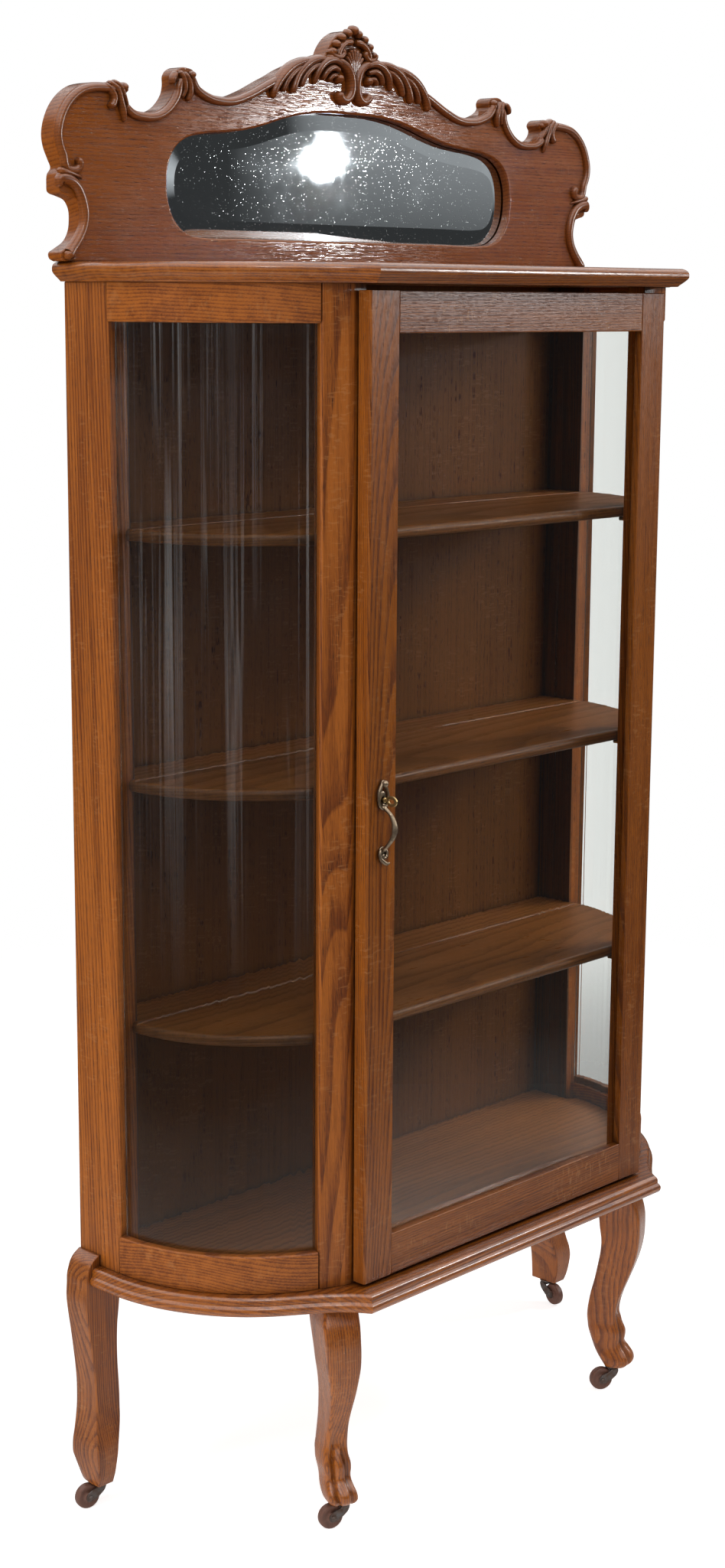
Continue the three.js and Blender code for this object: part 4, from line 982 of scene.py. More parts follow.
# Beads that follow the edge: where they start and stop, and what is added before and after.
# Rows are [x, z, half width, height].
EDGE_BEADS = [
    ([371, 195], [457, 106], [[362, 184, 4.2, 5], [366, 188, 4.6, 6]],
     [[450, 99.5, 4.6, 6], [441, 97.5, 4.6, 6.5], [433.5, 100.5, 4.8, 7], [432.5, 106, 5.2, 8],
      [437.5, 108.5, 5.4, 8]]),
    ([361, 176], [289, 203], [], [[280, 205, 3, 5]]),
    ([256, 205], [118, 224], [[262, 209, 3.2, 5]], [[104, 226, 3.0, 5]]),
]

# Carved strands on the ears: [x, z, half width, height].
EAR_STRANDS = [
    [[458.5, 79, 4.5, 5], [460.4, 84, 5.2, 6], [458, 88, 6, 7.5], [446, 86.5, 6.2, 8],
     [436, 80, 6, 7.5], [428, 66, 5.8, 7], [425, 50, 5.6, 7], [428, 36, 5.6, 7],
     [436, 23, 5.8, 7.5], [444, 14, 6, 8], [450, 7.5, 6.4, 9], [454.5, 9.5, 5.4, 8.5]],
    [[461.4, 97, 4.2, 6], [455, 95.8, 4.0, 6.5], [444, 93.8, 3.2, 6], [434, 91.2, 2.2, 4.5],
     [427, 89.5, 1.0, 2]],
    [[462.6, 91.5, 2.6, 5], [452, 91.2, 2.2, 5], [441, 88.6, 1.4, 3]],
    [[396, 191, 3.6, 5], [387, 186.5, 4.0, 7], [381.5, 178, 4.2, 7.5], [384, 170, 4.4, 7.5],
     [390, 168.5, 4.4, 8]],
    [[389, 194, 3.2, 5], [378, 187, 4.2, 8], [372.5, 174, 4.2, 8], [368, 162, 3.6, 7],
     [366, 152, 2.2, 4]],
    [[383, 195, 3.0, 5], [373, 190, 3.6, 7], [367.5, 180, 3.2, 7], [361, 169, 2.2, 4]],
    [[367, 189.6, 5.2, 9], [366.4, 190.4, 5.2, 9]],
    [[287, 211, 3.4, 5], [293, 204, 3.4, 6.5], [294.5, 197, 2.6, 5]],
    [[277, 212, 3.4, 5], [271, 203, 4.2, 8], [268.5, 190, 4.2, 8], [272, 180, 3.2, 5.5]],
    [[283, 213, 3.2, 5], [278, 204, 3.6, 7.5], [276, 193, 3.4, 7], [280, 183, 2.6, 4.5]],
    [[268, 213, 3.2, 5], [264, 206, 3.2, 7], [262.5, 199, 2.4, 5]],
    [[264, 209.6, 4.4, 8], [263.4, 210.2, 4.4, 8]],
]

# The middle ornament, right half; strands on x = 0 are kept single.
LEAF_STRANDS = [
    [[33, 243, 4.0, 6], [22, 240, 5.6, 9], [10, 232, 6.2, 11], [4.6, 218, 6.0, 11],
     [6.5, 203, 6.0, 10.5], [15, 196.5, 6.0, 10], [24, 199.5, 6.2, 10.5], [25.5, 206.5, 6.6, 11]],
    [[42, 254, 3.6, 6], [35, 247, 4.0, 8], [25, 246, 4.0, 9], [19, 251, 4.0, 9], [22, 256, 3.8, 8]],
    [[25.6, 221, 6.4, 11], [26.4, 221.6, 6.4, 11]],
    [[20, 238, 4.2, 8], [36, 242, 5.2, 10], [51, 238, 5.6, 10], [62, 227, 5.0, 9],
     [67, 212, 3.2, 5]],
    [[24, 230, 3.6, 8], [37, 233, 4.4, 9.5], [47, 228, 4.4, 9], [53, 218, 3.4, 6]],
    [[26, 223, 3.0, 7], [36, 224, 3.6, 8], [43, 217, 3.2, 6]],
    [[46, 243, 3.6, 7], [64, 241, 5.0, 9], [81, 234, 5.6, 10], [95, 221, 5.2, 9],
     [103, 204, 4.6, 8], [104, 199, 4.0, 6]],
    [[56, 236, 3.2, 7], [71, 231, 4.4, 9], [83, 221, 4.4, 8.5], [90, 207, 3.4, 6]],
    [[70, 240, 3.6, 7], [90, 236, 5.0, 9], [110, 227, 5.8, 10], [126, 213, 5.6, 9.5],
     [135, 198, 4.8, 8], [133, 192, 4.2, 6]],
    [[84, 232, 3.2, 7], [101, 225, 4.4, 9], [113, 214, 4.4, 8.5], [120, 200, 3.4, 6]],
    [[1.5, 265, 4.2, 8], [14, 263.5, 4.2, 8.5], [24, 256, 4.2, 8.5], [27, 247, 4.2, 8],
     [23, 243, 4.0, 7]],
]
SHELL_RIBS = 7
CROWN_BEADS = [[9, 274.5, 5.6], [19.5, 269, 5.4], [28.5, 261, 5.2], [35, 252, 4.8],
               [40, 244.5, 4.2]]


def crest_outline():
    half = spline(CREST_EDGE, 5)
    half[-1, 0] = 0
    return mirrored_top(half)


def mirrored_top(half):
    """Joins a half line that ends on x = 0 to its mirror image, open at the foot."""
    return np.vstack([half, half[-2::-1] * [-1, 1]])


def opening_outline():
    half = even(spline(OPENING_EDGE, 8), 3.5)
    half[[0, -1], 0] = 0
    return mirrored(half)


def upright(outline, y):
    """An outline [x, z above the top board] set up at one depth."""
    return np.column_stack([outline[:, 0], np.full(len(outline), y), TOP_Z + outline[:, 1]])


def strand(rows):
    """A carved half-round strand on the crest's face, closed and sunk a little into it."""
    line = even(spline(rows, 8), 1.6)
    if len(line) < 6:
        line = even(line, along(line)[-1] / 6)
    d = along(line)
    half, height = line[:, 2], line[:, 3]
    if np.linalg.norm(line[-1, :2] - line[0, :2]) < 3:
        return boss(*rows[0])
    end = np.clip(np.minimum(d, d[-1] - d) / half, 0, 1)
    fade = np.sqrt(1 - (1 - end) ** 2).clip(0.06, 1)
    t = unit(np.gradient(line[:, :2], axis=0))
    n = np.stack([-t[:, 1], t[:, 0]], 1)
    a = np.linspace(0, np.pi, 12)
    k, up = -np.cos(a), np.sin(a) ** 0.75
    xz = line[:, None, :2] + (half * fade)[:, None, None] * n[:, None] * k[None, :, None]
    y = -CREST_FACE - (height * np.sqrt(fade))[:, None] * up[None]
    sunk = np.full((len(line), 1), -CREST_FACE + 1.5)
    xz = np.concatenate([xz[:, :1], xz, xz[:, -1:]], 1)
    y = np.concatenate([sunk, y, sunk], 1)
    return loft(np.stack([xz[..., 0], y, TOP_Z + xz[..., 1]], -1))


def boss(x, z, radius, height):
    """A round carved knob on the crest's face."""
    a = np.linspace(0, 90, 7)
    profile = np.column_stack([radius * np.cos(np.radians(a)), height * np.sin(np.radians(a))])
    part = lathe(np.vstack([[[radius, -1.5]], profile]), 20)
    return shift(lying(part), x, -CREST_FACE, TOP_Z + z)


def edge_bead(start, stop, before, after):
    """A bead along the crest's edge between two of its places, with its curled ends."""
    look = settings().crest
    edge = even(spline(CREST_EDGE, 6), 2.0)
    first, last = (int(np.argmin(np.linalg.norm(edge - p, axis=1))) for p in (start, stop))
    step = 1 if last > first else -1
    t = unit(np.gradient(edge, axis=0))
    inside = edge + np.stack([-t[:, 1], t[:, 0]], 1) * (look.bead_inset / MM)
    run = inside[first:last + step:step]
    nearest = look.bead_inset / MM - 0.5
    clear = [p for p in run if np.min(np.linalg.norm(edge - p, axis=1)) > nearest]
    half, height = look.bead / MM / 2, look.bead_height / MM
    middle = [[x, z, half, height] for x, z in clear[1:-1:3]]
    return [*before, *middle, *after]


def both_sides(rows_list):
    parts = []
    for rows in rows_list:
        parts += [strand(rows), strand(flipped(rows))]
    return parts


def crest_board_body():
    """The crest board with its rounded edge, mirror opening and the pocket behind."""
    look = settings().crest
    soft, lip = look.edge / MM, look.opening_edge / MM
    outline, hole = even(crest_outline(), 2.2), opening_outline()
    quarter = [(1 - math.sin(a), 1 - math.cos(a)) for a in np.linspace(0, math.pi / 2, 5)]
    face, back = -CREST_FACE, -CREST_BACK
    outer = [(0.8, back), (0.2, back - 0.2), (0.0, back - 0.8)]
    outer += [(soft * i, face + soft * d) for i, d in quarter[::-1]]
    outer_rings = [upright(grown(outline, -i), y) for i, y in outer]
    seat, ledge = 7.3, face + LEDGE
    inner = [(lip * i, face + lip * d) for i, d in quarter]
    inner += [(0, ledge), (seat, ledge), (seat, back)]
    inner_rings = [upright(grown(hole, g), y) for g, y in inner]
    shell = loft(outer_rings, caps=False)
    well = loft(inner_rings, caps=False)
    offset = len(shell[0])
    faces = shell[1] + [tuple(i + offset for i in f) for f in well[1]]
    n, m = len(outline), len(hole)
    front, rear = (len(outer) - 1) * n, offset + (len(inner) - 1) * m
    for ring, loop, o, h in ((outer_rings[-1], inner_rings[0], front, offset),
                             (outer_rings[0], inner_rings[-1], 0, rear)):
        lines = [[Vector((p[0], p[2], 0)) for p in r] for r in (ring, loop)]
        for tri in tessellate_polygon(lines):
            faces.append(tuple(o + i if i < n else h + i - n for i in tri))
    return np.vstack([shell[0], well[0]]), faces


def mirror_body():
    """Silvered glass with a wide bevel, its edge hidden behind the crest's lip."""
    look = settings().crest
    hole = opening_outline()
    face, back, cover = -CREST_FACE + LEDGE, -CREST_FACE + LEDGE + 5, 7.0
    rows = [(cover, back), (cover, face + look.bevel_depth / MM), (-look.bevel / MM + 2, face),
            (-look.bevel / MM - 6, face)]
    return loft([upright(grown(hole, g), y) for g, y in rows])


# ---- legs and casters -----------------------------------------------------------------------

# Front leg rows: [z, front, back, width, drift] along and across the way the leg faces.
FRONT_LEG = [[288, 8, -50, 42, 0], [276, 14, -44, 44, -1.5], [262, 21, -36, 46, -3],
             [246, 25, -31, 45, -3], [230, 26, -29, 43.5, -2], [212, 25.4, -26.5, 41.5, -1.5],
             [194, 22.5, -27.5, 36.5, -0.8], [174, 16.5, -31, 32, 0], [154, 9, -35, 28.5, 0],
             [134, 1.5, -40, 27, 0.3], [116, -3, -43.3, 28.7, 0.3],
             [104, -3.2, -44.8, 30.5, -0.2], [94, 0.6, -45, 33.5, -1.2],
             [82, 5.5, -43.4, 36.5, -0.5], [74, 6, -40.7, 35.5, 0.3], [67, 5.5, -38.3, 34, 0.6],
             [61, 9, -36.2, 34, 0.6], [55, 14.5, -33.6, 36, 0.8], [48, 18.6, -29.2, 38.5, 1.8],
             [41, 18.5, -24, 38.5, 3], [36, 14, -20.5, 34, 4], [33.5, 10, -18.5, 30, 4.5]]

# Rear leg rows: [z, outer face, inner face, forward kick] from the post's faces.
REAR_LEG = [[288, 23, -31.5, 0], [272, 24, -30.5, 0], [252, 22, -28.5, 0], [231, 18.8, -26, 0],
            [205, 15.2, -25, 0], [180, 12.2, -25.5, 0], [160, 10.5, -26.4, 0.3],
            [143, 10.3, -26.8, 0.8], [128, 10.8, -26, 2], [112, 12.7, -24.3, 4.3],
            [98, 15, -20.5, 7.5], [84, 17.8, -16, 11], [72, 18.2, -13.5, 12.5],
            [60, 17, -12, 11.8], [46, 15, -11, 9.8], [38, 13.8, -10.5, 7.5],
            [33.5, 12.5, -10.5, 6]]
# The lap outside the post: [outer face, height above the base board's underside].
LAP = [[23, 0], [22.5, 10], [20, 19], [16.5, 27], [11, 33], [3, 37.5]]


LEG_OUT, LEG_IN = 1.8, 10.6  # a front leg's axis, sideways and back from the case's corner


def front_leg_body(side):
    """Cabriole leg with a rounded knee and a foot of three toes."""
    count, toes_z = 72, 136
    rings = []
    for z, front, back, width, drift in even(spline(FRONT_LEG, 6), 2.4, 1):
        a = 2 * np.pi * (np.arange(count) + 0.5) / count
        sharp = np.clip(3 + (z - 90) / 9, 3, 10)
        across, deep = (np.sign(v) * np.abs(v) ** (2 / sharp) for v in (np.cos(a), np.sin(a)))
        x, y = width / 2 * across, (front - back) / 2 * deep
        depth = 5.6 * np.clip((toes_z - z) / 44, 0, 1) * (1 if z > 40 else 0.7)
        split = np.radians(np.interp(z, [45, 80, 132], [27, 23, 9]))
        facing = np.arctan2(x, y)
        groove = sum(np.exp(-(((facing - s * split) / 0.13) ** 2)) for s in (-1, 1))
        lobes = np.cos(np.clip(facing / split, -3, 3) * np.pi) * np.exp(-((facing / 1.1) ** 2))
        knuckle = 1.2 * np.exp(-(((z - 83) / 11) ** 2)) + 0.8 * np.exp(-(((z - 46) / 8) ** 2))
        swell = -depth * groove + knuckle * lobes * np.clip((130 - z) / 30, 0, 1)
        grow = 1 + swell / np.hypot(x, y)
        x, y = x * grow, y * grow
        plan = np.column_stack([x - side * drift, -(front + back) / 2 - y])
        rings.append(at_height(plan, z))
    corner, tilt = front_corner()
    turn = Matrix.Rotation(side * tilt, 4, "Z")
    place = Matrix.Translation((side * (corner + LEG_OUT), -FRONT_Y + LEG_IN, 0))
    return moved(loft(rings[::-1]), place @ turn)


def rear_leg_body(side):
    """Square S-curved leg, and its lap with the rounded top outside the post."""
    cut_z = 68  # where the slanted corner of the foot begins

    def ring(z, out, inn, kick, soft=2.0):
        x0, x1, y0 = HALF_W + inn, HALF_W + out, -POST_DEPTH - kick
        low = np.clip((cut_z - z) / (cut_z - FOOT_Z), 0, 1)
        cut = soft + 18 * low
        slant = spline([[x1, -1.2 * cut], [x1 - 0.25 * cut, -0.35 * cut], [x1 - cut, 0]], 4)
        p = np.vstack([slant, [[x0 + soft, 0]], arc(soft, 90, 180, 4, (x0 + soft, -soft)),
                       arc(soft, 180, 270, 4, (x0 + soft, y0 + soft)),
                       arc(soft, 270, 360, 4, (x1 - soft, y0 + soft))])
        return at_height(p * [side, 1], z)

    body = [ring(*row) for row in even(spline(REAR_LEG, 6), 3.0, 1)]
    lap = [ring(LEG_H + up, out, GAP, 0, min(2.0, out / 3))
           for out, up in even(spline(LAP, 6), 1.5)]
    return [loft(body[::-1]), loft(lap)]


TRAIL, WHEEL_R = 16.0, 15.5  # stem to axle, and the wheel's radius


def horn_body():
    """Caster horn: stem, plate, washer, crown, two cheeks and a riveted axle, trailing along +x."""
    crown = 27.6

    def disc(r, z0, z1, e):
        return lathe([[0, z0], [r - e, z0], [r, z0 + e], [r, z1 - e], [r - e, z1], [0, z1]])

    parts = [disc(4, crown, FOOT_Z + 24, 0.6), disc(10.5, FOOT_Z - 2, FOOT_Z, 0.5),
             disc(8, FOOT_Z - 3.9, FOOT_Z - 2.2, 0.5)]
    block = spline([[-6, -7], [-6, 7], [-4, 8.4], [2, 8.4], [4.4, 6], [4.4, -6], [2, -8.4],
                    [-4, -8.4]], 3, True)
    parts.append(shift(plate(block[::-1], 3.6, 0.6), 0, 0, crown - 0.4))
    cheek = spline([[-5.5, crown + 2], [3.4, crown + 2.2], [8, crown - 1.5],
                    [TRAIL - 1, WHEEL_R + 8], [TRAIL + 3.4, WHEEL_R + 4.4],
                    [TRAIL + 4.6, WHEEL_R], [TRAIL + 3.2, WHEEL_R - 4.2],
                    [TRAIL - 2, WHEEL_R - 4.8], [8, WHEEL_R - 2.6], [1, WHEEL_R + 2],
                    [-4, crown - 5]], 4, True)
    head = [[0, 2.1], [1.6, 1.9], [2.9, 1.2], [3.3, 0.2], [3.3, -1], [0, -1]]
    for s in SIDES:
        side = lying(plate(cheek[::-1], 2.4, 0.6))
        parts.append(shift(side, 0, s * 8.0 + 1.2, 0))
        rivet = lying(lathe(head, 20))
        rivet = (rivet[0] * [1, -s if s > 0 else 1, 1], rivet[1])
        parts.append(shift(rivet, TRAIL, s * 9.0, WHEEL_R))
    axle = lathe([[0, -9], [2, -9], [2, 9], [0, 9]], 20)
    parts.append(shift(lying(axle), TRAIL, 0, WHEEL_R))
    return parts


def wheel_body():
    """Turned wheel with a crowned, worn tread and a hub on each side."""
    half = [[2.3, 6.4], [4.6, 6.4], [5.6, 5.2], [8, 4.5], [11, 4.9], [13, 5.1], [14.3, 4.6],
            [15.2, 3.2], [15.4, 1.4]]
    profile = spline(half + [[r, -z] for r, z in half[::-1]], 3)
    return lathe(np.vstack([profile, profile[:1]]), 64, caps=False)


# ---- door fittings --------------------------------------------------------------------------


KNOB_DROP = 8  # the pull's top to its knob
KEYHOLE_DROP = 19  # the knob to the keyhole
FOOT_DROP = 81  # the knob to the lower foot


def pull_body():
    """Cast pull: top knob, scrolled plate round the keyhole, bowed bail and hooked finial."""
    oval = spline([[0, 10.5], [-5, 8], [-7.6, 1], [-6.8, -6], [-3, -10], [0, -11], [3, -10],
                   [6.6, -6], [7.2, 1], [5, 8]], 5, True)
    hole = 3.0 * unit(oval) * [0.9, 1.15]
    ring = [at_height(p, z) for p, z in (
        (grown(oval, -0.2), 0), (oval, 0.8), (grown(oval, -0.5), 1.9), (grown(oval, -1.8), 2.6),
        (hole * 1.25, 2.4), (hole, 1.2), (hole, 0))]
    rosette = shift(lying(loft(ring + ring[:1], caps=False)), 0, 0, -KEYHOLE_DROP)
    foot = spline([[0, 8], [-4, 6], [-5.4, 0], [-4, -6], [0, -8.5], [4, -6], [5.4, 0], [4, 6]],
                  5, True)
    foot = shift(lying(plate(foot, 2.4, 0.8)), 0, 0, -FOOT_DROP)
    r, round_it = 3.9, np.radians(np.linspace(-62, 90, 9))
    ball = [[r * math.cos(a), 1.6 + r + r * math.sin(a)] for a in round_it]
    knob = lying(lathe([[0, -2], [2.2, -2], [2.4, 0.5], [1.7, 1.6]] + ball, 28))
    wires = [
        ([[0, -2.4, 4], [-2.5, -3, -1], [-6.2, -3.4, -6], [-8.2, -3.6, -13], [-7.8, -3.6, -20],
          [-5.4, -4, -26], [-1.6, -4.2, -28], [-0.6, -4.2, -24.6], [-3, -4.2, -23.4]],
         [1.8, 2.2, 2.2, 2, 2, 2.2, 2.3, 2, 1.8]),
        ([[0, -2.4, 4], [2.2, -3, -1.5], [5.2, -3.2, -7], [7.2, -3.4, -14], [6.6, -3.4, -21],
          [3, -3.8, -27], [0, -3, -30]], [1.6, 1.8, 1.7, 1.6, 1.7, 2, 2.2]),
        ([[0, -2.6, -26], [0, -7, -29.5], [1, -13, -34.5], [2, -17, -42.5], [2.2, -18.5, -51],
          [1, -17, -60], [0, -12, -68], [0, -6.5, -74], [0, -2, -78]],
         [2.6, 2.3, 2.3, 2.9, 3.7, 3.0, 2.4, 2.3, 2.6]),
        ([[3, -2.6, -76], [5.6, -3.2, -79], [5.2, -3.8, -84], [1.6, -4, -86], [-1.4, -4, -83.4],
          [0.4, -4, -81]], [1.6, 1.8, 1.8, 1.8, 1.7, 1.5]),
        ([[-3, -2.6, -76], [-5.6, -3.2, -80], [-4.6, -3.8, -86], [-1, -4.6, -90], [3, -6.2, -92.6],
          [6.4, -8.4, -91.4]], [1.6, 1.9, 2.2, 2.5, 2.1, 0.7]),
    ]
    parts = [rosette, foot, knob]
    for line, radii in wires:
        rows = even(spline(np.column_stack([line, radii]), 6), 1.0, 3)
        parts.append(tube(rows[:, :3], rows[:, 3], 16))
    x, z = middle_of("door_pull", X), edge_of("door_pull", HIGH, Z) - KNOB_DROP
    return [shift(p, x, -DOOR_FRONT, z) for p in parts]


def key_body():
    """Key with a flat pierced bow, collar, shank and bit."""
    shank = lying(lathe([[0, -23.5], [1.5, -23.3], [1.8, -22.6], [1.8, 3.4], [2.9, 3.8],
                         [3, 5.6], [1.9, 6.2], [1.9, 8.6], [0, 9.6]], 24))
    a = np.linspace(0, 2 * np.pi, 48, endpoint=False)
    outer = np.stack([8.3 * np.cos(a), 6.2 * np.sin(a)], 1)
    slot = np.stack([4.2 * np.cos(a), 2.6 * np.sin(a)], 1)
    rows = [(outer, 0.35, -1.1), (outer, 0.0, -0.75), (outer, 0.0, 0.75), (outer, 0.35, 1.1),
            (slot, -0.3, 1.1), (slot, 0.0, 0.75), (slot, 0.0, -0.75), (slot, -0.3, -1.1),
            (outer, 0.35, -1.1)]
    rings = [at_height(grown(p, -inset), t) for p, inset, t in rows]
    bow_plate = loft(rings, caps=False)
    points = bow_plate[0][:, [2, 0, 1]] * [1, -1, 1] + [0, -15.8, 0]
    bit = plate([[0, -4.2], [4, -4.2], [4, 0], [0, 0]], 2.2, 0.3)
    bit_points = bit[0][:, [2, 0, 1]] + [-1.1, 19, 0]
    x, z = middle_of("door_pull", X), edge_of("door_pull", HIGH, Z) - (KNOB_DROP + KEYHOLE_DROP)
    parts = (shank, (points, bow_plate[1]), (bit_points, bit[1]))
    return [shift(p, x, -DOOR_FRONT, z) for p in parts]


def shelf_body(top):
    """A shelf with a rounded edge at the ends and front, and a plate groove near the back."""
    case = settings().case
    low, high = (Vector(c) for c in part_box("shelf_1"))
    half, back, front = high.x / MM, (WALL - high.y) / MM, (WALL - low.y) / MM
    thick = (high.z - low.z) / MM
    soft = min(case.shelf_round / MM, thick / 2)
    clear, corner_in, middle = 4.5, 22.2, -81.0  # to the rail, to the corner, the groove's line
    radius = (case.bow_radius - case.rail) / MM - clear
    corner = front_corner()[0] - corner_in
    swing = bow(np.arange(6, 49, 2), radius, -1)
    left = np.vstack([[[-half, -back], [-half, -SIDE_FLAT - 4]], swing])
    reach = np.array([[-corner - 44, -front + 4], [-corner + 14, -front]])
    nose = spline(np.vstack([left[-2:], reach]), 8)[8:]
    left = np.vstack([left[:-1], nose, [[-corner * 0.5, -front]]])
    r = case.groove / MM / 2
    cuts = middle + r * np.cos(np.radians(np.linspace(0, 180, 9)))
    rows = np.unique(np.concatenate([left[:, 1], cuts]).round(4))[::-1]
    keep = rows > -front + 1e-3
    x = np.interp(-rows[keep], -left[:, 1], left[:, 0])
    left = np.vstack([np.column_stack([x, rows[keep]]), left[left[:, 1] <= -front + 1e-3]])
    outline = both_halves(left)
    dip = np.sqrt(np.clip(r**2 - (outline[:, 1] - middle) ** 2, 0, None))
    rings = []
    for a in np.linspace(0, 180, 13):
        inset = soft * (1 - math.sin(math.radians(a)))
        z = top - thick / 2 - (thick / 2) * math.cos(math.radians(a))
        p = grown(outline, -inset)
        p[[0, -1], 1] = -back
        height = np.minimum(z, top - dip)
        rings.append(np.column_stack([p, height]))
    body = loft(rings, caps=False)
    n, faces = len(outline), list(body[1])
    for ring in (0, len(rings) - 1):
        for i in range(n // 2 - 1):
            j = ring * n
            faces.append((j + i, j + i + 1, j + n - 2 - i, j + n - 1 - i))
    return body[0], faces


# ---- operators ------------------------------------------------------------------------------


class PieceOperator:
    """What every operator of the cabinet shares."""

    bl_options = {"REGISTER", "UNDO"}

    def execute(self, context):
        self.make(settings())
        return {"FINISHED"}


class CABINET_OT_carcass(PieceOperator, Operator):
    """Finish the posts, stiles, back and floor, and ease their edges"""

    bl_idname = "cabinet.carcass"
    bl_label = "Carcass"

    def make(self, look):
        arris = look.case.arris / MM
        for side in SIDES:
            for base in ("rear_post", "side_stile", "front_post"):
                ease_edges(side_name(base, side), oak(base), arris)
        ease_edges("back_panel", oak("panel"), 0.4, 2)
        ease_edges("floor_board", oak("floor"), 1.0, 2)


class CABINET_OT_boards(PieceOperator, Operator):
    """Build the top and base boards with their moulded noses"""

    bl_idname = "cabinet.boards"
    bl_label = "Top and base boards"

    def make(self, look):
        top = moulded_board(TOP_NOSE, CASE_Z1, lambda d: [[-HALF_W - d, -GAP]])
        piece("top_board_moulded", [top], oak("top"), replaces=["top_board"])
        inside = [[-HALF_W + GAP, 0], [-HALF_W + GAP, -POST_DEPTH]]
        base = moulded_board(BASE_NOSE, LEG_H, lambda d: inside)
        piece("base_board_moulded", [base], oak("base"), replaces=["base_board"])


class CABINET_OT_sides(PieceOperator, Operator):
    """Build the bowed rails and the bent glass of both sides"""

    bl_idname = "cabinet.sides"
    bl_label = "Bowed sides"

    def make(self, look):
        case = look.case
        turn = math.degrees(case.bow_turn)
        radius = case.bow_radius / MM
        gap = math.degrees(GAP / radius)
        outer = radius - case.glass_in / MM - GAP
        for side in SIDES:
            wood = oak("rail_left" if side < 0 else "rail_right")
            rails = (("side_bottom_rail", CASE_Z0, 1), ("side_top_rail", CASE_Z1, -1))
            for name, z, up in rails:
                node = side_name(name, side)
                height = edge_of(node, HIGH, Z) - edge_of(node, LOW, Z)
                body = swept(rail_section(z, height, up), side, gap, turn - gap, 72)
                piece(f"{node}_bowed", [body], wood, replaces=[node])
            node = side_name("side_glass", side)
            z0, z1 = edge_of(node, LOW, Z), edge_of(node, HIGH, Z)
            t = case.glass / MM
            section = [[outer - t, z0], [outer, z0]]
            section += [[outer, z] for z in np.linspace(z0, z1, 13)[1:]]
            section += [[outer - t, z] for z in np.linspace(z1, z0, 13)[:-1]]
            pane = swept(section, side, gap, turn - gap, 96)
            lets_in = 0.5 if side < 0 else 0.95
            finish = glass_finish(side_name("Bent glass", side), look.glass.waves, 0.5, lets_in)
            piece(f"{node}_bent", [pane], finish, replaces=[node])


class CABINET_OT_shelves(PieceOperator, Operator):
    """Build the three shelves and the pins that carry them"""

    bl_idname = "cabinet.shelves"
    bl_label = "Shelves and pins"

    def make(self, look):
        profile = [[0, -9], [1.9, -9], [2.4, -8.4], [2.4, 0], [3.7, 0], [4.1, 0.4], [4.1, 1.0],
                   [3.7, 1.4], [2.5, 1.4], [2.5, 12.4], [2.0, 13], [0, 13]]
        for k in (1, 2, 3):
            node = f"shelf_{k}"
            board = shelf_body(edge_of(node, HIGH, Z))
            piece(f"{node}_board", [board], oak("shelf"), replaces=[node])
            for side in SIDES:
                for place in ("rear", "front"):
                    node = side_name(f"pin_{place}_{k}", side)
                    low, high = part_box(node)
                    mid = (low + high) / 2
                    x, y, z = mid.x / MM, (mid.y - WALL) / MM, mid.z / MM
                    pin = lathe(profile, 24)
                    if place == "rear":
                        points = pin[0][:, [2, 0, 1]] * [-side, 1, 1] + [x + side * 2.0, y, z]
                    else:
                        points = pin[0][:, [0, 2, 1]] + [x, y - 2.0, z]
                    piece(f"{node}_turned", [(points, pin[1])], metal("brass"),
                          replaces=[node])


class CABINET_OT_door(PieceOperator, Operator):
    """Finish the door frame and its pane"""

    bl_idname = "cabinet.door"
    bl_label = "Door"

    def make(self, look):
        arris = look.case.arris / MM
        for side in SIDES:
            ease_edges(side_name("door_stile", side), oak("door_stile"), arris)
        for node in ("door_bottom_rail", "door_top_rail"):
            ease_edges(node, oak("door_rail"), arris)
        pane = glass_finish("Door glass", look.glass.flat_waves, 0.2, 0.65)
        ease_edges("door_glass", pane, 0.2, 1)


class CABINET_OT_fittings(PieceOperator, Operator):
    """Build the pull and the key, and finish hinges and lock"""

    bl_idname = "cabinet.fittings"
    bl_label = "Pull, key, hinges and lock"

    def make(self, look):
        piece("door_pull_cast", pull_body(), metal("pull"), "door", ["door_pull"], 50)
        piece("door_key_filed", key_body(), metal("brass"), "key", ["door_key"], 50)
        for k in (1, 2):
            for leaf in ("post_leaf", "door_leaf"):
                ease_edges(f"hinge_{k}_{leaf}", metal("brass"), 0.25, 2, 40)
        ease_edges("lock_case", metal("iron"), 0.5, 2)
        ease_edges("lock_bolt", metal("brass"), 0.4, 2)


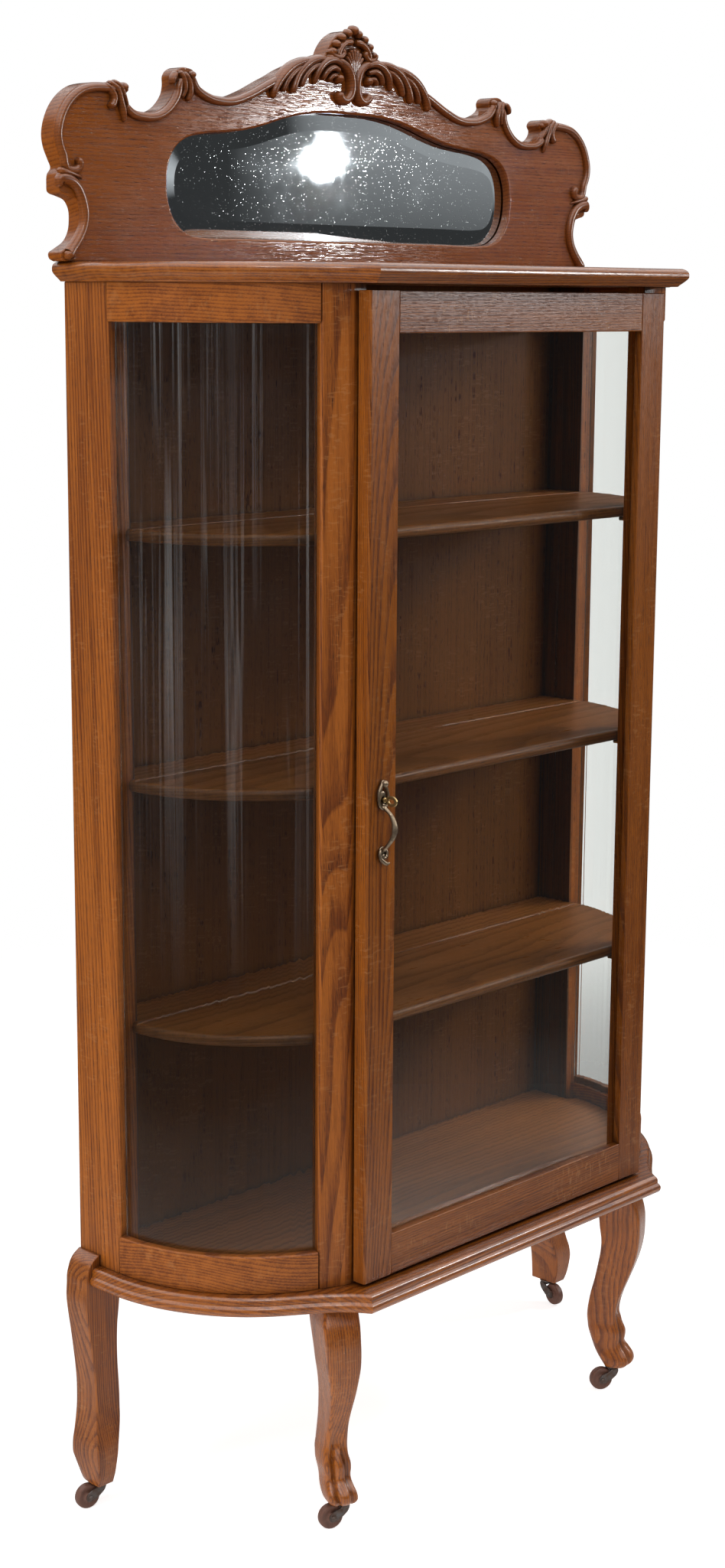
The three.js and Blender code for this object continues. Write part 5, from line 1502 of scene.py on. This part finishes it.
class CABINET_OT_crest(PieceOperator, Operator):
    """Build the crest board, its beads and carving, and the bevelled mirror"""

    bl_idname = "cabinet.crest"
    bl_label = "Crest"

    def make(self, look):
        piece("crest_board_shaped", [crest_board_body()], oak("crest"),
              replaces=["crest_board"])
        beads = both_sides([edge_bead(*row) for row in EDGE_BEADS])
        beads += both_sides(EAR_STRANDS)
        piece("crest_beads", beads, oak("carved"))
        carving = both_sides(LEAF_STRANDS)
        for x, z, r in CROWN_BEADS:
            carving += [boss(x, z, r, 9), boss(-x, z, r, 9)]
        carving.append(boss(0, 278.6, 6.2, 11))
        for k in range(SHELL_RIBS):
            s = (k - (SHELL_RIBS - 1) / 2) / ((SHELL_RIBS - 1) / 2)
            tip = [17.5 * math.sin(s * 1.05), 238 + 20 * math.cos(s * 1.05)]
            mid = [9.5 * math.sin(s * 0.95), 232 + 10 * math.cos(s * 0.8)]
            carving.append(strand([[0.6 * s, 213, 1.2, 4], [mid[0] * 0.45, 222, 1.9, 6],
                                   [mid[0], mid[1], 2.6, 7.5], [*tip, 3.4, 7.5]]))
        piece("crest_centre_carving", carving, oak("carved"),
              replaces=["crest_carving"])
        piece("crest_mirror_bevelled", [mirror_body()], mirror_finish("Old mirror"),
              replaces=["crest_mirror"], crease=2.5)
        ease_edges("mirror_backing", oak("backing"), 0.5, 2)


class CABINET_OT_legs(PieceOperator, Operator):
    """Build the cabriole front legs and the lapped rear legs"""

    bl_idname = "cabinet.legs"
    bl_label = "Legs"

    def make(self, look):
        for side in SIDES:
            node = side_name("front_leg", side)
            piece(f"{node}_carved", [front_leg_body(side)], oak("front_leg"),
                  replaces=[node], crease=50)
            node = side_name("rear_leg", side)
            piece(f"{node}_sawn", rear_leg_body(side), oak("rear_leg"),
                  replaces=[node], crease=40)


class CABINET_OT_casters(PieceOperator, Operator):
    """Build the four casters, each with an iron horn and a wooden wheel"""

    bl_idname = "cabinet.casters"
    bl_label = "Casters"

    def make(self, look):
        for joint in frame["joints"]:
            if not joint["name"].startswith("swivel_"):
                continue
            corner = joint["name"][len("swivel_"):]
            horn, wheel = f"caster_horn_{corner}", f"caster_wheel_{corner}"
            stem = Vector(joint["pos_m"])
            low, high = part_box(wheel)
            middle = (low + high) / 2
            heading = math.atan2(middle.y - stem.y, middle.x - stem.x)
            place = Matrix.Translation((stem.x / MM, (stem.y - WALL) / MM, 0))
            place = place @ Matrix.Rotation(heading, 4, "Z")
            piece(f"{horn}_forged", [moved(p, place) for p in horn_body()], metal("iron"),
                  f"swivel_{corner}", [horn], 40)
            disc = shift(lying(wheel_body()), TRAIL, 0, WHEEL_R)
            piece(f"{wheel}_turned", [moved(disc, place)], wheel_finish("Wheel wood"),
                  f"wheel_{corner}", [wheel], 50)


class CABINET_OT_studio(PieceOperator, Operator):
    """Set the camera, the soft lights, the pale floor and the white surround"""

    bl_idname = "cabinet.studio"
    bl_label = "Studio"

    def make(self, look):
        studio = look.studio
        scene = bpy.context.scene
        scene.view_settings.view_transform = "Standard"
        self.camera(studio)
        self.floor(studio)
        self.surround(studio)
        # Each lamp: place, aim, width, height, power.
        middle, face = Vector((0, 0, 0.85)), Vector((0, 0, 1.2))
        left = self.lamp("Left light", (-3.0, 0.2, 1.05), middle, 0.8, 2.0, studio.left)
        left.visible_glossy = left.visible_transmission = False
        right = self.lamp("Right light", (3.1, -1.0, 2.45), face, 0.34, 0.34, studio.right)
        right.visible_glossy = right.visible_transmission = False
        flash = self.lamp("Flash", studio.flash_place, face, 0.08, 0.08, studio.flash)
        flash.visible_diffuse = False
        self.lamp("High light", (-1.9, -2.3, 3.3), middle, 0.45, 0.45, studio.high)
        self.lamp("Top light", (-0.2, -0.9, 3.6), middle, 2.6, 2.6, studio.top)

    def camera(self, studio):
        data = bpy.data.cameras.new("Camera")
        data.lens = studio.lens
        data.sensor_width = 36
        ahead = Vector((math.sin(studio.yaw) * math.cos(studio.pitch),
                        math.cos(studio.yaw) * math.cos(studio.pitch), -math.sin(studio.pitch)))
        right = Vector((math.cos(studio.yaw), -math.sin(studio.yaw), 0))
        up = right.cross(ahead)
        level = right * math.cos(studio.roll) + up * math.sin(studio.roll)
        up = up * math.cos(studio.roll) - right * math.sin(studio.roll)
        turn = Matrix((level, up, -ahead)).transposed()
        obj = link("Camera", data)
        obj.matrix_world = Matrix.Translation(studio.camera) @ turn.to_4x4()
        bpy.context.scene.camera = obj

    def lamp(self, name, place, aim, width, height, power):
        data = bpy.data.lights.new(name, "AREA")
        data.shape = "ELLIPSE" if width == height else "RECTANGLE"
        data.size, data.size_y = width, height
        data.energy = power
        obj = link(name, data)
        obj.location = place
        obj.rotation_euler = (aim - Vector(place)).to_track_quat("-Z", "Y").to_euler()
        obj.visible_camera = False
        return obj

    def floor(self, studio):
        """A pale disc that fades into the white surround at its rim."""
        material, n, shader, place, output = new_finish("Pale floor")
        reach = n.calc("DIVIDE", n.vector("LENGTH", place), studio.sweep)
        fade = n.ramp(reach, (0.35, 0.0), (0.98, 1.0))
        path = n.add("ShaderNodeLightPath").outputs
        pale, dim = (0.93, 0.93, 0.92, 1), (0.06, 0.055, 0.05, 1)
        far = n.ramp(reach, (0.30, 0.0), (0.45, 0.5), (0.75, 1.0))
        far = n.calc("MULTIPLY", far, path["Is Glossy Ray"])
        clear = n.add("ShaderNodeBsdfTransparent")
        both = n.add("ShaderNodeMixShader", {0: fade, 1: shader.outputs[0], 2: clear.outputs[0]})
        n.feed(output.inputs["Surface"], both.outputs[0])
        glow = n.calc("MULTIPLY_ADD", path["Is Camera Ray"], studio.glow, 0.25)
        dull = n.calc("MULTIPLY_ADD", far, -0.85, 1.0)
        n.fill(shader, {"Base Color": n.mix(far, pale, dim), "Roughness": 0.55,
                        "Specular IOR Level": 0.0, "Emission Color": (1, 1, 1),
                        "Emission Strength": n.calc("MULTIPLY", glow, dull)})
        radius, count = studio.sweep, 96
        a = np.linspace(0, 2 * np.pi, count, endpoint=False)
        rim = [(radius * math.cos(t), radius * math.sin(t), 0) for t in a]
        mesh = bpy.data.meshes.new("Floor")
        mesh.from_pydata(rim, [], [tuple(range(count))])
        mesh.materials.append(material)
        obj = link("Floor", mesh)

    def surround(self, studio):
        """White where it is seen, an even grey where it lights, a dim room in reflections."""
        world = bpy.data.worlds.new("Studio")
        world.use_nodes = True
        bpy.context.scene.world = world
        world.node_tree.nodes.clear()
        n = Nodes(world.node_tree)
        path = n.add("ShaderNodeLightPath").outputs
        glossy = n.calc("GREATER_THAN", path["Glossy Depth"], 0.5)
        inside = n.calc("GREATER_THAN", path["Transmission Depth"], 0.5)
        bounces = n.calc("ADD", path["Diffuse Depth"], path["Glossy Depth"])
        straight = n.calc("LESS_THAN", bounces, 0.5)
        seen = n.calc("MAXIMUM", path["Is Camera Ray"], path["Is Transmission Ray"])
        seen = n.calc("MULTIPLY", seen, straight)
        # Round the room from 0 to 1, and up from 0 to 1 with the horizon at 0.5.
        way = n.add("ShaderNodeTexCoord").outputs["Generated"]
        way = n.add("ShaderNodeSeparateXYZ", {0: way}).outputs
        turn = n.calc("ARCTAN2", way[X], n.calc("MULTIPLY", way[Y], -1.0))
        turn = n.calc("ADD", n.calc("DIVIDE", turn, 2 * math.pi), 0.5)
        up = n.calc("MULTIPLY_ADD", way[Z], 0.5, 0.5)
        walls = n.ramp(turn, (0.0, 0.08), (0.45, 0.05), (0.6, 0.035), (0.75, 0.04), (1.0, 0.06))
        # Narrow bright gaps on the left, which the bent glass draws out into streaks.
        place = n.add("ShaderNodeCombineXYZ", {
            0: n.calc("MULTIPLY", turn, 90.0), 1: n.calc("MULTIPLY", way[Z], 2.5)}).outputs[0]
        gaps = n.ramp(n.noise(place, 1.0), (0.56, 0.0), (0.72, 1.0))
        gaps = n.calc("MULTIPLY", gaps, n.ramp(up, (0.40, 0.25), (0.49, 1.0)))
        gaps = n.calc("MULTIPLY", gaps, n.calc("LESS_THAN", turn, 0.5))
        walls = n.calc("MULTIPLY_ADD", gaps, 2.0, walls)
        # Pale patches above the horizon, for the flat glass and the mirror.
        pale = n.ramp(turn, (0.57, 0.0), (0.582, 0.6), (0.592, 0.6), (0.602, 0.0), (0.621, 0.0),
                      (0.627, 0.24), (0.65, 0.36), (0.75, 0.06))
        walls = n.calc("MULTIPLY_ADD", pale, n.ramp(up, (0.505, 0.0), (0.53, 1.0)), walls)
        # A bright ceiling, which a diffuse bounce doesn't see.
        ceiling = n.ramp(up, (0.71, 0.0), (0.77, 2.0))
        ceiling = n.calc("MULTIPLY", ceiling, n.calc("LESS_THAN", path["Diffuse Depth"], 0.5))
        walls = n.calc("MAXIMUM", walls, ceiling)
        above = n.ramp(up, (0.36, 0.0), (0.40, 1.0))
        room = n.mix(above, (0.05, 0.047, 0.043), walls)
        even_grey = n.mix(inside, (studio.room,) * 3, (studio.room * studio.inside,) * 3)
        lit = n.mix(glossy, even_grey, room)
        grey = n.add("ShaderNodeBackground", {"Color": lit, "Strength": 1.0})
        white = n.add("ShaderNodeBackground", {"Color": (1, 1, 1), "Strength": 1.0})
        both = n.add("ShaderNodeMixShader", {0: seen, 1: grey.outputs[0], 2: white.outputs[0]})
        n.add("ShaderNodeOutputWorld", {"Surface": both.outputs[0]})


class CABINET_PT_build(Panel):
    """The cabinet's settings and the steps that build it"""

    bl_label = "Oak China Cabinet"
    bl_idname = "CABINET_PT_build"
    bl_space_type = "VIEW_3D"
    bl_region_type = "UI"
    bl_category = "China Cabinet"

    def draw(self, context):
        look = context.scene.china_cabinet
        for group in ("oak", "case", "crest", "glass", "metal", "studio"):
            box = self.layout.box()
            box.label(text=group.capitalize())
            for key in getattr(look, group).__annotations__:
                box.prop(getattr(look, group), key)
        for step in STEPS:
            self.layout.operator(step.bl_idname)


STEPS = (CABINET_OT_studio, CABINET_OT_carcass, CABINET_OT_boards, CABINET_OT_sides,
         CABINET_OT_shelves, CABINET_OT_door, CABINET_OT_fittings, CABINET_OT_crest,
         CABINET_OT_legs, CABINET_OT_casters)
GROUPS = (OakSettings, CaseSettings, CrestSettings, GlassSettings, MetalSettings,
          StudioSettings, CabinetSettings)


def register():
    for item in (*GROUPS, *STEPS, CABINET_PT_build):
        bpy.utils.register_class(item)
    bpy.types.Scene.china_cabinet = PointerProperty(type=CabinetSettings)


def unregister():
    del bpy.types.Scene.china_cabinet
    for item in (CABINET_PT_build, *reversed(STEPS), *reversed(GROUPS)):
        bpy.utils.unregister_class(item)


def main():
    register()
    for step in STEPS:
        area, name = step.bl_idname.split(".")
        getattr(getattr(bpy.ops, area), name)()


if __name__ == "__main__":
    main()
